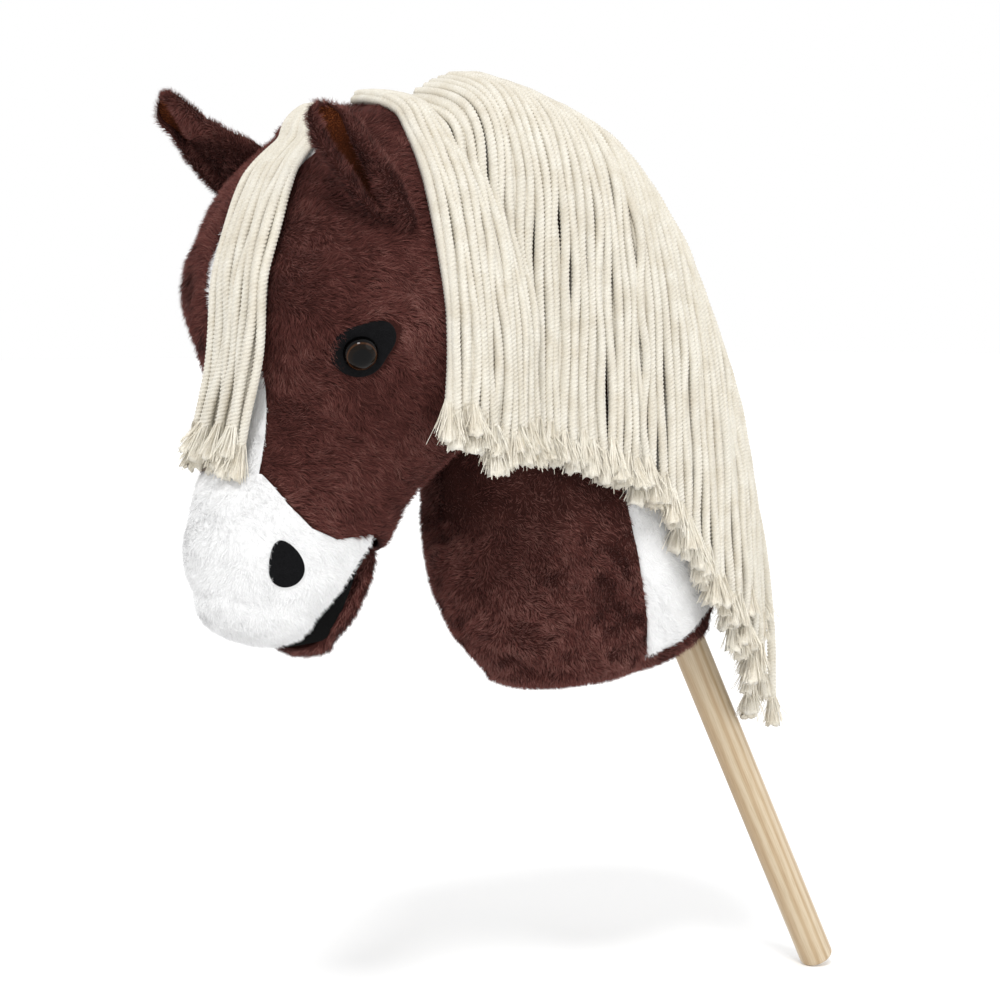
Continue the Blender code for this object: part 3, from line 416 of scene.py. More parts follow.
def curve_rows(rows, steps):
    """Rows of numbers with smooth ones between them."""
    last = len(rows) - 1
    fine = []
    for i in range(last):
        before, start, end, after = (rows[min(max(k, 0), last)] for k in (i - 1, i, i + 1, i + 2))
        for t in np.arange(steps) / steps:
            straight = 2 * start + (end - before) * t
            bend = (2 * before - 5 * start + 4 * end - after) * t * t
            twist = (3 * start - before - 3 * end + after) * t ** 3
            fine.append((straight + bend + twist) / 2)
    fine.append(rows[last])
    return np.array(fine)


def lofted(form, inset=0.0, steps=SECTION_STEPS, cap_steps=CAP_STEPS):
    """The form's sections as arrays, drawn in by inset, with those of both round ends."""
    rows = np.array([(*s.front, *s.rear, s.half, s.full) for s in form.sections])
    rows = curve_rows(rows, steps)
    centre = (rows[:, 0:2] + rows[:, 2:4]) / 2
    arm = (rows[:, 0:2] - rows[:, 2:4]) / 2
    length = np.linalg.norm(arm, axis=1, keepdims=True)
    arm = arm / length * (length - inset)
    half, full = rows[:, 4] - inset, rows[:, 5]
    caps = []
    for end, inner, depth in ((0, 1, form.first_cap), (-1, -2, form.last_cap)):
        axis = np.array((-arm[end][1], arm[end][0])) / np.linalg.norm(arm[end])
        axis *= np.sign(axis @ (centre[end] - centre[inner]))
        angle = np.radians(np.arange(1, cap_steps) * 90 / cap_steps)[:, None]
        rise = depth - inset
        cap = (
            centre[end] + axis * rise * np.sin(angle),
            arm[end] * np.cos(angle),
            half[end] * np.cos(angle[:, 0]),
            np.full(len(angle), full[end]),
        )
        caps.append((cap, centre[end] + axis * rise))
    (first, first_pole), (last, last_pole) = caps
    joined = [np.concatenate((a[::-1], b, c)) for a, b, c in zip(first, (centre, arm, half, full), last)]
    return Loft(*joined, poles=(first_pole, last_pole))


def ring_grid(rows, count):
    """The point numbers in rows of closed rings, those one place further round, and the faces between."""
    at = np.arange(rows * count).reshape(rows, count)
    after = np.roll(at, -1, axis=1)
    return at, after, np.stack((at[:-1], after[:-1], after[1:], at[1:]), -1).reshape(-1, 4)


def loft_grid(loft, count=RING_POINTS):
    """Points and faces of a closed skin through the loft's sections."""
    angle = math.tau * np.arange(count) / count
    power = 2 / loft.full[:, None]
    c = np.sign(np.cos(angle)) * np.abs(np.cos(angle)) ** power
    s = np.sign(np.sin(angle).round(12)) * np.abs(np.sin(angle)) ** power
    x = loft.centre[:, :1] + loft.arm[:, :1] * c
    z = loft.centre[:, 1:] + loft.arm[:, 1:] * c
    y = loft.half[:, None] * s
    points = np.stack((x, y, z), -1).reshape(-1, 3)
    at, after, quads = ring_grid(len(loft.half), count)
    faces = quads.tolist()
    for row, pole in ((0, 0), (-1, 1)):
        tip = len(points)
        points = np.vstack((points, (loft.poles[pole][0], 0.0, loft.poles[pole][1])))
        faces += [(int(a), int(b), tip) for a, b in zip(at[row], after[row])]
    return points, faces


def half_widths(loft, x, z):
    """Half the loft's width at places in the middle plane, or 0 outside it."""
    place = np.stack(np.broadcast_arrays(x, z), -1).astype(float)
    across = loft.arm / np.linalg.norm(loft.arm, axis=1, keepdims=True)
    widest = np.zeros(place.shape[:-1])
    sides = []
    for centre, direction in zip(loft.centre, across):
        offset = place - centre
        sides.append(direction[0] * offset[..., 1] - direction[1] * offset[..., 0])
    for k in range(len(sides) - 1):
        one, other = sides[k], sides[k + 1]
        crossed = (one * other <= 0) & (one != other)
        t = np.where(crossed, one / np.where(one == other, 1.0, one - other), 0.0)[..., None]
        middle = loft.centre[k] * (1 - t) + loft.centre[k + 1] * t
        arm = loft.arm[k] * (1 - t) + loft.arm[k + 1] * t
        t = t[..., 0]
        half = loft.half[k] * (1 - t) + loft.half[k + 1] * t
        full = loft.full[k] * (1 - t) + loft.full[k + 1] * t
        length = np.linalg.norm(arm, axis=-1)
        share = np.abs(((place - middle) * arm).sum(-1)) / length ** 2
        room = np.clip(1 - np.minimum(share, 1.0) ** full, 0.0, None)
        width = half * room ** (1 / full)
        widest = np.where(crossed, np.maximum(widest, width), widest)
    return widest


def whole_half_widths(x, z, inset=0.0):
    """Half the width of head and neck together."""
    if inset not in COARSE_LOFTS:
        COARSE_LOFTS[inset] = tuple(lofted(form, inset, 3, 5) for form in (HEAD, NECK))
    return np.maximum(*(half_widths(loft, x, z) for loft in COARSE_LOFTS[inset]))


def top_of(x, y, inset=0.0):
    """The height of the whole form's upper side over a place."""
    heights = np.arange(ABOVE, BELOW, -0.0005)
    inside = whole_half_widths(x, heights, inset) > abs(y)
    return heights[np.argmax(inside)]


def crest_height(x):
    """The height of the crest at places along it."""
    return np.interp(x, CREST_X, CREST_Z)


def side_place(x, z, side):
    """A point on the head's side and the direction out of it. The side is -1 for left, 1 for right."""
    step = 0.001
    here, fore, aft, low, high = (
        float(half_widths(HEAD_LOFT, px, pz))
        for px, pz in ((x, z), (x - step, z), (x + step, z), (x, z - step), (x, z + step))
    )
    normal = Vector(((fore - aft) / (2 * step), side, (low - high) / (2 * step))).normalized()
    return Vector((x, side * here, z)), normal


def contains(outline, x, z):
    """Whether places in the middle plane lie inside an outline."""
    inside = np.zeros(np.shape(x), bool)
    for (x0, z0), (x1, z1) in zip(outline, (*outline[1:], outline[0])):
        if z0 == z1:
            continue
        between = (z0 > z) != (z1 > z)
        inside ^= between & (x < x0 + (z - z0) / (z1 - z0) * (x1 - x0))
    return inside


def waves(points, size, seed):
    """A smooth field from about -1 to 1 that changes over a length of about size."""
    rng = np.random.default_rng(seed)
    total = np.zeros(len(points))
    for _ in range(12):
        direction = rng.normal(size=3)
        direction *= math.tau / size * rng.uniform(0.35, 1.0) / np.linalg.norm(direction)
        total += np.sin(points @ direction + rng.uniform(0, math.tau))
    return total / 3.5


# Objects and materials


def add_piece(name, mesh, material, body, *nodes, slot=None):
    """An object that rides on a body and stands for the named nodes."""
    obj = bpy.data.objects.new(name, mesh)
    bpy.context.scene.collection.objects.link(obj)
    mesh.materials.append(material)
    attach(obj, body)
    if nodes:
        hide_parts(*nodes)
    return obj


def add_cloth(obj, thickness):
    """Gives a surface the thickness of its cloth, towards its inner side."""
    cloth = obj.modifiers.new("cloth", "SOLIDIFY")
    cloth.thickness = thickness
    cloth.offset = -1.0


def mesh_of(name, points, faces, smooth=True):
    """A mesh from points and faces of any number of corners."""
    mesh = bpy.data.meshes.new(name)
    mesh.from_pydata([tuple(p) for p in np.asarray(points).tolist()], [], [tuple(f) for f in faces])
    if smooth:
        mesh.shade_smooth()
    mesh.update()
    return mesh


def triangle_mesh(name, points, triangles, places=None):
    """A mesh from arrays, with an optional map of one place for each corner."""
    mesh = bpy.data.meshes.new(name)
    mesh.vertices.add(len(points))
    mesh.vertices.foreach_set("co", np.ascontiguousarray(points, np.float32).ravel())
    mesh.loops.add(triangles.size)
    mesh.loops.foreach_set("vertex_index", np.ascontiguousarray(triangles, np.int32).ravel())
    mesh.polygons.add(len(triangles))
    mesh.polygons.foreach_set("loop_start", np.arange(len(triangles), dtype=np.int32) * 3)
    mesh.update(calc_edges=True)
    if places is not None:
        layer = mesh.uv_layers.new(name=MAP_NAME)
        layer.uv.foreach_set("vector", np.ascontiguousarray(places, np.float32).ravel())
    return mesh


def add_node(tree, kind, **values):
    node = tree.nodes.new(kind)
    for key, value in values.items():
        setattr(node, key, value)
    return node


def ramp_of(tree, source, stops):
    """A colour ramp, where each stop is a position and a colour."""
    node = add_node(tree, "ShaderNodeValToRGB")
    elements = node.color_ramp.elements
    while len(elements) < len(stops):
        elements.new(0.5)
    for element, (position, colour) in zip(elements, stops):
        element.position = position
        element.color = (*colour, 1.0)
    tree.links.new(source, node.inputs["Fac"])
    return node.outputs["Color"]


def multiplied(tree, one, other):
    """Two colours multiplied."""
    node = add_node(tree, "ShaderNodeMix", data_type="RGBA", blend_type="MULTIPLY")
    node.inputs[0].default_value = 1.0
    tree.links.new(one, node.inputs[6])
    tree.links.new(other, node.inputs[7])
    return node.outputs[2]


def noise_of(tree, vector, scale, detail=4.0, roughness=0.6, distortion=0.0):
    node = add_node(tree, "ShaderNodeTexNoise")
    node.inputs["Scale"].default_value = scale
    node.inputs["Detail"].default_value = detail
    node.inputs["Roughness"].default_value = roughness
    node.inputs["Distortion"].default_value = distortion
    tree.links.new(vector, node.inputs["Vector"])
    return node.outputs["Fac"]


def map_places(tree):
    """The map's first and second number, as the sockets X and Y."""
    where = add_node(tree, "ShaderNodeUVMap", uv_map=MAP_NAME)
    split = add_node(tree, "ShaderNodeSeparateXYZ")
    tree.links.new(where.outputs["UV"], split.inputs["Vector"])
    return split.outputs


def new_material(name, roughness, **sockets):
    """A material, its nodes and its shader, whose sockets are named with _ for a space."""
    material = bpy.data.materials.new(name)
    material.use_nodes = True
    shader = material.node_tree.nodes["Principled BSDF"]
    shader.inputs["Roughness"].default_value = roughness
    for key, value in sockets.items():
        shader.inputs[key.replace("_", " ")].default_value = value
    return material, material.node_tree, shader


def add_bump(tree, shader, height, strength, distance):
    """Small relief from a height field."""
    bump = add_node(tree, "ShaderNodeBump")
    bump.inputs["Strength"].default_value = strength
    bump.inputs["Distance"].default_value = distance
    tree.links.new(height, bump.inputs["Height"])
    tree.links.new(bump.outputs["Normal"], shader.inputs["Normal"])


def object_places(tree, scale=(1.0, 1.0, 1.0), rotation=(0.0, 0.0, 0.0), way="POINT"):
    """Places in the object's own frame, stretched and turned."""
    where = add_node(tree, "ShaderNodeTexCoord")
    mapping = add_node(tree, "ShaderNodeMapping", vector_type=way)
    mapping.inputs["Scale"].default_value = scale
    mapping.inputs["Rotation"].default_value = rotation
    tree.links.new(where.outputs["Object"], mapping.inputs["Vector"])
    return mapping.outputs["Vector"]


def pile_material(name, shades, root, sheen, roughness=0.7):
    """Hair whose shade comes from the map's first number, painted darker at the root than at the tip as
    painted shade among the hairs.
    """
    material, tree, shader = new_material(
        name, roughness, Sheen_Weight=sheen, Sheen_Roughness=0.5, Specular_IOR_Level=0.05
    )
    where = map_places(tree)
    shade = ramp_of(tree, where["X"], shades)
    # Painted shade: each hair darkens towards its root, where the hairs shadow each other
    depth = ramp_of(tree, where["Y"], ((0.0, (root,) * 3), (0.6, (1.0,) * 3)))
    tree.links.new(multiplied(tree, shade, depth), shader.inputs["Base Color"])
    return material


def skin_material(name, dark, light, bump=0.5, depth=0.55):
    """The backing and the pile's roots, seen between the hairs."""
    material, tree, shader = new_material(name, 0.9, Specular_IOR_Level=0.04)
    where = object_places(tree)
    patches = noise_of(tree, where, 45.0)
    hairs = noise_of(tree, where, 900.0, detail=3.0, distortion=0.4)
    base = ramp_of(tree, patches, ((0.3, dark), (0.7, light)))
    grain = ramp_of(tree, hairs, ((0.3, (depth,) * 3), (0.7, (1.0,) * 3)))
    tree.links.new(multiplied(tree, base, grain), shader.inputs["Base Color"])
    add_bump(tree, shader, hairs, bump, 0.001)
    return material


def felt_material(name, colour, fibre):
    """Pressed felt: short crossing fibres and a little lint."""
    material, tree, shader = new_material(
        name, 0.95, Sheen_Weight=0.02, Sheen_Roughness=0.5, Specular_IOR_Level=0.04
    )
    where = object_places(tree)
    fine = noise_of(tree, where, 1400.0, detail=5.0, distortion=1.5)
    wide = noise_of(tree, where, 160.0)
    base = ramp_of(tree, fine, ((0.35, colour), (0.8, fibre)))
    cloudy = ramp_of(tree, wide, ((0.3, (0.75,) * 3), (0.7, (1.0,) * 3)))
    tree.links.new(multiplied(tree, base, cloudy), shader.inputs["Base Color"])
    add_bump(tree, shader, fine, 0.5, 0.0004)
    return material


def cord_material(name, dark, light):
    """Cotton cord: fibres that follow the twist, with faint clouding, a brushed end painted lighter and a
    cut painted darker.
    """
    material, tree, shader = new_material(
        name, 0.85, Sheen_Weight=0.25, Sheen_Roughness=0.5, Specular_IOR_Level=0.2
    )
    where = object_places(tree)
    fibre = noise_of(tree, where, 1100.0, detail=3.0, roughness=0.7, distortion=0.6)
    cloud = noise_of(tree, where, 55.0)
    base = ramp_of(tree, cloud, ((0.3, dark), (0.65, light)))
    grain = ramp_of(tree, fibre, ((0.3, (0.80, 0.78, 0.74)), (0.62, (1.0,) * 3)))
    # Painted light and shade along the map: the brushed end is painted lighter than the laid length,
    # against the shade among its strands, and the cut end is painted darker as painted shade
    laid, cotton, shaded_cut = (0.88,) * 3, (1.0,) * 3, (0.88, 0.86, 0.81)
    stops = ((0.0, laid), (0.89, laid), (0.92, cotton), (0.975, cotton), (0.99, shaded_cut))
    cut = ramp_of(tree, map_places(tree)["Y"], stops)
    colour = multiplied(tree, base, grain)
    tree.links.new(multiplied(tree, colour, cut), shader.inputs["Base Color"])
    add_bump(tree, shader, fibre, 0.45, 0.0005)
    return material


def woven_material(name, colour, scale=1500.0):
    """Plain weave from two crossed waves."""
    material, tree, shader = new_material(name, 0.9)
    where = object_places(tree)
    heights = []
    for axis in ("X", "Z"):
        wave = add_node(tree, "ShaderNodeTexWave", bands_direction=axis)
        wave.inputs["Scale"].default_value = scale / math.tau
        wave.inputs["Distortion"].default_value = 0.6
        tree.links.new(where, wave.inputs["Vector"])
        heights.append(wave.outputs["Fac"])
    threads = add_node(tree, "ShaderNodeMath", operation="MAXIMUM")
    for height, socket in zip(heights, threads.inputs):
        tree.links.new(height, socket)
    dark = tuple(0.6 * c for c in colour)
    shade = ramp_of(tree, threads.outputs[0], ((0.2, dark), (0.9, colour)))
    tree.links.new(shade, shader.inputs["Base Color"])
    add_bump(tree, shader, threads.outputs[0], 0.4, 0.0004)
    return material


def wood_material(name):
    """Pine: long grain lines along the stick, with pores and a thin clear coat."""
    material, tree, shader = new_material(name, 0.42, Coat_Weight=0.15, Coat_Roughness=0.3)
    where = object_places(tree, (1.0, 1.0, 1 / 0.045), (0.0, -STICK_LEAN, 0.0), "TEXTURE")
    rings = add_node(tree, "ShaderNodeTexWave", wave_type="BANDS", bands_direction="X")
    rings.inputs["Scale"].default_value = 42.0
    rings.inputs["Distortion"].default_value = 5.0
    rings.inputs["Detail"].default_value = 3.0
    rings.inputs["Detail Scale"].default_value = 0.8
    tree.links.new(where, rings.inputs["Vector"])
    fibre = noise_of(tree, where, 900.0, detail=3.0)
    cloud = noise_of(tree, where, 38.0)
    stops = ((0.1, (0.49, 0.365, 0.225)), (0.42, (0.575, 0.465, 0.32)), (0.9, (0.62, 0.52, 0.375)))
    grain = ramp_of(tree, rings.outputs["Fac"], stops)
    pores = ramp_of(tree, fibre, ((0.3, (0.84, 0.80, 0.74)), (0.55, (1.0,) * 3)))
    tint = ramp_of(tree, cloud, ((0.3, (0.90, 0.85, 0.78)), (0.7, (1.0,) * 3)))
    colour = multiplied(tree, grain, pores)
    colour = multiplied(tree, colour, tint)
    tree.links.new(colour, shader.inputs["Base Color"])
    add_bump(tree, shader, fibre, 0.25, 0.0003)
    return material


def eye_material(name):
    """Moulded eye: black pupil, a dark brown iris that is lighter at its rim, and a black edge."""
    material, tree, shader = new_material(name, 0.03, Specular_IOR_Level=0.14)
    where = map_places(tree)
    black, brown, amber = (0.001, 0.001, 0.001), (0.006, 0.003, 0.001), (0.060, 0.023, 0.008)
    stops = ((0.0, black), (0.50, black), (0.60, brown), (0.76, brown), (0.82, amber), (0.88, black))
    shade = ramp_of(tree, where["Y"], stops)
    fleck = noise_of(tree, object_places(tree), 700.0)
    flecks = ramp_of(tree, fleck, ((0.3, (0.6,) * 3), (0.7, (1.0,) * 3)))
    tree.links.new(multiplied(tree, shade, flecks), shader.inputs["Base Color"])
    return material


def plastic_material(name, colour):
    """Plain plastic with a faint speckle."""
    material, tree, shader = new_material(name, 0.4)
    speckle = noise_of(tree, object_places(tree), 300.0)
    dark = tuple(0.9 * c for c in colour)
    tree.links.new(ramp_of(tree, speckle, ((0.3, dark), (0.7, colour))), shader.inputs["Base Color"])
    add_bump(tree, shader, speckle, 0.1, 0.0002)
    return material


# Skins of plush


def bisected(bm, line):
    """Cuts the faces near a line in side view along it."""
    for (x0, z0), (x1, z1) in zip(line, line[1:]):
        margin = 0.008
        near = []
        for face in bm.faces:
            centre = face.calc_center_median()
            if not min(x0, x1) - margin < centre.x < max(x0, x1) + margin:
                continue
            if min(z0, z1) - margin < centre.z < max(z0, z1) + margin:
                near.append(face)
        cut_plane(bm, near, (x0, 0.0, z0), (z1 - z0, 0.0, x0 - x1))


def cut_plane(bm, faces, place, normal):
    """Cuts the given faces along a plane."""
    geometry = set(faces)
    for face in faces:
        geometry.update(face.edges)
        geometry.update(face.verts)
    bmesh.ops.bisect_plane(bm, geom=list(geometry), dist=1e-6, plane_co=place, plane_no=normal)


def mouth_lines():
    """The mouth's corner, the directions along its line and up from it, and its length, in side view."""
    corner, front = Vector(MOUTH_CORNER), Vector(MOUTH_FRONT)
    along = (front - corner).normalized()
    up = Vector((along.y, -along.x))
    up = up if up.x < 0 else -up
    return corner, along, up, (front - corner).length


def mouth_place(x, z):
    """How far places lie above the mouth's line, and how far along it from its corner."""
    corner, along, up, _ = mouth_lines()
    x, z = x - corner.x, z - corner.y
    return x * up.x + z * up.y, x * along.x + z * along.y


def working_mesh(loft, count=RING_POINTS):
    """The closed skin through a loft's sections, to be cut."""
    mesh = mesh_of("form", *loft_grid(loft, count))
    bm = bmesh.new()
    bm.from_mesh(mesh)
    bpy.data.meshes.remove(mesh)
    bmesh.ops.recalc_face_normals(bm, faces=bm.faces)
    return bm


def triangle_arrays(bm):
    """The working mesh as points, triangles and normals."""
    bmesh.ops.triangulate(bm, faces=bm.faces)
    bm.normal_update()
    bm.verts.index_update()
    points = np.array([v.co for v in bm.verts])
    normals = np.array([v.normal for v in bm.verts])
    triangles = np.array([[v.index for v in f.verts] for f in bm.faces])
    bm.free()
    return points, triangles, normals


def cut_surface(form):
    """The form's skin, cut along its seams and the mouth, as points, triangles and normals."""
    bm = working_mesh(lofted(form))
    corner, along, up, _ = mouth_lines()
    below, beyond = corner - up * FAR, corner + along * FAR
    patch_top = (NECK_PATCH_EDGE[0], NECK_PATCH_TOP)
    for line in (HEAD_SEAM, MUZZLE_EDGE, NECK_PATCH_EDGE, patch_top, BASE_SEAM, (below, corner, beyond)):
        bisected(bm, [tuple(p) for p in line])
    for y in (-BLAZE_HALF_WIDTH, BLAZE_FAR_WIDTH):
        front = [f for f in bm.faces if f.calc_center_median().x < FORELOCK_ROOT_X + 0.02]
        cut_plane(bm, front, (0.0, y, 0.0), (0.0, 1.0, 0.0))
    return triangle_arrays(bm)


def line_distance(line, x, z):
    """The distance of places in side view from a line."""
    nearest = np.full(np.shape(x), 1.0)
    for (x0, z0), (x1, z1) in zip(line, line[1:]):
        dx, dz = x1 - x0, z1 - z0
        t = np.clip(((x - x0) * dx + (z - z0) * dz) / (dx * dx + dz * dz), 0.0, 1.0)
        nearest = np.minimum(nearest, np.hypot(x - x0 - t * dx, z - z0 - t * dz))
    return nearest


def summed_waves(points, kinds):
    """Smooth fields added up, each with its height, size and seed."""
    return sum(height * waves(points, size, seed) for height, size, seed in kinds)


def plumped(points, normals):
    """The skin with the filling's soft lumps, drawn in along the seams."""
    x, z = points[:, 0], points[:, 2]
    drawn = 0.0
    for line, depth in SEAM_DEPTHS:
        drawn = drawn + depth * np.exp(-(line_distance(line, x, z) / SEAM_WIDTH) ** 2)
    return points + normals * (summed_waves(points, LUMPS) - drawn)[:, None]


def mouth_side(x, z):
    """Whether places lie in what the mouth's plane takes off the head."""
    above, beyond = mouth_place(x, z)
    return (above < 0) & (beyond > 0)


def regions_of(points):
    """The name of the panel that each place on the skin belongs to."""
    x, y, z = points.T
    front_x = MUZZLE_EDGE[0][0]
    head = contains([*HEAD_SEAM, (front_x, ABOVE), (front_x, BELOW), (HEAD_SEAM[0][0], BELOW)], x, z)
    muzzle = contains([*MUZZLE_EDGE, (MUZZLE_EDGE[-1][0], BELOW), (front_x, BELOW)], x, z)
    foot_z = MUZZLE_EDGE[1][1] - 2 * PLUSH
    rise = (
        (front_x, foot_z),
        (MUZZLE_EDGE[1][0] + 2 * PLUSH, foot_z),
        (FORELOCK_ROOT_X, HEAD.sections[1].front[1]),
        (FORELOCK_ROOT_X, ABOVE),
        (front_x, ABOVE),
    )
    white = muzzle | (contains(rise, x, z) & (y > -BLAZE_HALF_WIDTH) & (y < BLAZE_FAR_WIDTH))
    base = contains([*BASE_SEAM, (BASE_SEAM[-1][0], BELOW), (BASE_SEAM[0][0], BELOW)], x, z)
    low = NECK_PATCH_EDGE[-1][1]
    patch = contains([*NECK_PATCH_EDGE, (NECK_PATCH_TOP[0], low), NECK_PATCH_TOP], x, z)
    side = np.where(y < 0, "left", "right")
    names = np.where(head, np.char.add("face_", side), np.char.add("neck_", side))
    names = np.where(~head & patch, np.char.add("patch_", side), names)
    names = np.where(~head & base, "base", names)
    return np.where(head & white, "muzzle", names)


def gathered_skin():
    """All panels' points, triangles and normals, without what lies inside the other form."""
    pieces = []
    start = 0
    for form, other in ((HEAD, NECK_LOFT), (NECK, HEAD_LOFT)):
        points, triangles, normals = cut_surface(form)
        x, y, z = points.T
        covered = np.abs(y) < half_widths(other, x, z) - (HEAD_OVERLAP if form is HEAD else NECK_OVERLAP)
        if form is NECK:
            covered &= ~mouth_side(x, z)
        centre = points[triangles].mean(1)
        kept = ~covered[triangles].all(1)
        if form is HEAD:
            kept &= ~mouth_side(centre[:, 0], centre[:, 2])
        inset = NECK_INSET if form is NECK else 0.0
        skin = plumped(points, normals) - normals * inset
        pieces.append((skin, triangles[kept] + start, normals, centre[kept]))
        start += len(points)
    points, triangles, normals, centres = (np.concatenate(p) for p in zip(*pieces))
    return points, triangles, normals, regions_of(centres)


def subset(points, triangles, normals):
    """The same triangles with only the points that they use."""
    used, index = np.unique(triangles, return_inverse=True)
    return points[used], index.reshape(-1, 3), normals[used]


# Pile


def scattered(points, triangles, normals, density, rng):
    """Random places on a skin, with the direction out of it."""
    a, b, c = (points[triangles[:, k]] for k in range(3))
    area = np.linalg.norm(np.cross(b - a, c - a), axis=1) / 2
    count = int(area.sum() * density)
    face = rng.choice(len(triangles), count, p=area / area.sum())
    u, v = rng.random(count), rng.random(count)
    flip = u + v > 1
    u[flip], v[flip] = 1 - u[flip], 1 - v[flip]
    shares = np.stack((1 - u - v, u, v), 1)[:, :, None]
    corners = triangles[face]
    place = (points[corners] * shares).sum(1)
    out = (normals[corners] * shares).sum(1)
    return place, out / np.linalg.norm(out, axis=1, keepdims=True)


def unit(vectors):
    """Vectors of length 1, one to a row."""
    return vectors / np.maximum(np.linalg.norm(vectors, axis=1, keepdims=True), 1e-12)


def pile_mesh(name, place, out, flow, looks, rng, width=PILE_WIDTH):
    """Hairs that lie along the flow, drawn together in clumps. Their looks are a row of PILE_LOOKS."""
    length, lay, shade, swirl = looks
    count = len(place)
    lying = unit(flow - out * (flow * out).sum(1, keepdims=True))
    turn = swirl * summed_waves(place, PILE_WANDERING) + rng.normal(0, PILE_TURN_SPREAD, count)
    aside = np.cross(out, lying)
    lying = lying * np.cos(turn)[:, None] + aside * np.sin(turn)[:, None]
    cell = np.floor(place / CLUMP_SIZE)
    spots = np.sin(cell @ CLUMP_SCATTER) * CLUMP_STIR
    centre = (cell + 0.25 + 0.5 * (spots - np.floor(spots))) * CLUMP_SIZE
    pull = (centre - place) / CLUMP_SIZE
    pull -= out * (pull * out).sum(1, keepdims=True)
    angle = lay + rng.normal(0, PILE_LAY_SPREAD, count) + 0.12 * waves(place, 0.020, 13)
    hair = unit(lying * np.cos(angle)[:, None] + out * np.sin(angle)[:, None] + pull * CLUMP_PULL)
    long = length * rng.uniform(*PILE_LENGTHS, count)[:, None]
    across = unit(np.cross(hair, out) + rng.normal(0, PILE_TURN_SPREAD, (count, 3)))
    half = (width * rng.uniform(*PILE_WIDTHS, count) / 2)[:, None]
    root = place - out * PILE_ROOT_DEPTH
    points = np.stack((root - across * half, root + across * half, root + hair * long), 1).reshape(-1, 3)
    tone = shade + 0.07 * waves(place, 0.070, 14) + 0.06 * waves(place, 0.012, 15)
    tone = (tone + rng.normal(0, PILE_SHADE_SPREAD, count)).clip(*PILE_SHADE_LIMITS)
    thin, zero = PILE_MAP_WIDTH, tone * 0
    places = np.stack((tone - thin, zero, tone + thin, zero, tone, zero + 1), 1).reshape(-1, 2)
    return triangle_mesh(name, points, np.arange(count * 3).reshape(-1, 3), places)


def flow_of(region, place):
    """The way the pile lies on a panel: back from the nose, down over the muzzle and the neck."""
    x, y, z = place.T
    side = np.sign(y)
    if region == "muzzle":
        low = np.clip((MUZZLE_TOP_Z - z) / MUZZLE_FLOW_SPAN, 0.0, 1.0)
        return np.stack((0.15 + 0.75 * low, 0.25 * side * (1 - low), -1.0 + 0.25 * low), 1)
    if region.startswith("face"):
        return np.stack((1.0 + 0 * x, 0.2 * side, -0.35 - 0.5 * waves(place, 0.12, 21)), 1)
    return np.stack((0.35 + 0 * x, 0.1 * side, -1.0 + 0 * x), 1)


def uncovered(place, rng):
    """Which hairs to keep: none under the felt, and fewer under the mane, which hides them."""
    x, y, z = place.T
    keep = np.ones(len(place), bool)
    for side in (-1, 1):
        for spot_x, spot_z, outline in FELT_SPOTS:
            seat, normal = side_place(spot_x, spot_z, side)
            rear, up = surface_turn(normal, side)
            offset = place - np.array(seat)
            u, v = offset @ np.array(rear), offset @ np.array(up)
            near = np.linalg.norm(offset, axis=1) < FELT_REACH
            keep &= ~(near & contains(outline, u, v))
    share = mane_share(x)
    low = crest_height(x) - MANE_CORD_LENGTH + 0.02
    hidden = (y < -MANE_COVER_SIDE) & (share > MANE_COVER_START) & (share < 1.0) & (z > low)
    return keep & (~hidden | (rng.random(len(place)) < PILE_UNDER_MANE))


def build_skins():
    """The panels of plush with their pile."""
    points, triangles, normals, names = gathered_skin()
    nodes = {
        "face_left": "face_panel_left",
        "face_right": "face_panel_right",
        "muzzle": "blaze_and_muzzle",
        "neck_left": "neck_panel_left",
        "neck_right": "neck_panel_right",
        "patch_left": "neck_patch_left",
        "patch_right": "neck_patch_right",
        "base": "neck_base",
    }
    for k, (region, node) in enumerate(nodes.items()):
        rng = np.random.default_rng(100 + k)
        white = region == "muzzle" or region.startswith("patch")
        panel = subset(points, triangles[names == region], normals)
        skin, pile = (WHITE_SKIN, WHITE_PILE) if white else (BROWN_SKIN, BROWN_PILE)
        slot = "white_plush" if white else "brown_plush"
        mesh = mesh_of(f"plush_{region}", panel[0], panel[1])
        obj = add_piece(f"plush_{region}", mesh, skin, "head_and_stick", node, slot=slot)
        add_cloth(obj, SKIN_CLOTH)
        place, out = scattered(*panel, PILE_DENSITY, rng)
        keep = uncovered(place, rng)
        x, y, z = place.T
        other = np.abs(y) < np.minimum(half_widths(HEAD_LOFT, x, z), half_widths(NECK_LOFT, x, z))
        keep &= ~(other & (np.abs(y) < whole_half_widths(x, z) - PILE_OVERLAP))
        place, out = place[keep], out[keep]
        looks = PILE_LOOKS["white" if white else region.split("_")[0]]
        hairs = pile_mesh(f"pile_{region}", place, out, flow_of(region, place), looks, rng)
        add_piece(f"pile_{region}", hairs, pile, "head_and_stick", slot=slot)


def surface_turn(normal, side):
    """A frame with its first axis towards the horse's rear and its second one up."""
    rear = Vector((1.0, 0.0, 0.0))
    rear = (rear - normal * rear.dot(normal)).normalized()
    return rear, normal.cross(rear) * -side


# Filling, lower jaw and mouth


def gape_depth(share, first, last, end):
    """How deep the jaw's upper side lies under the mouth's plane at shares of its length.
    The gape is first at the corner and last at the share end."""
    shares = [0.0] + [s for s, _ in MOUTH_PROFILE] + [end]
    gapes = [first] + [g * MOUTH_GAPE for _, g in MOUTH_PROFILE] + [last]
    return np.interp(share, shares, gapes) + JAW_DROP * np.interp(share, *zip(*JAW_DROPS))


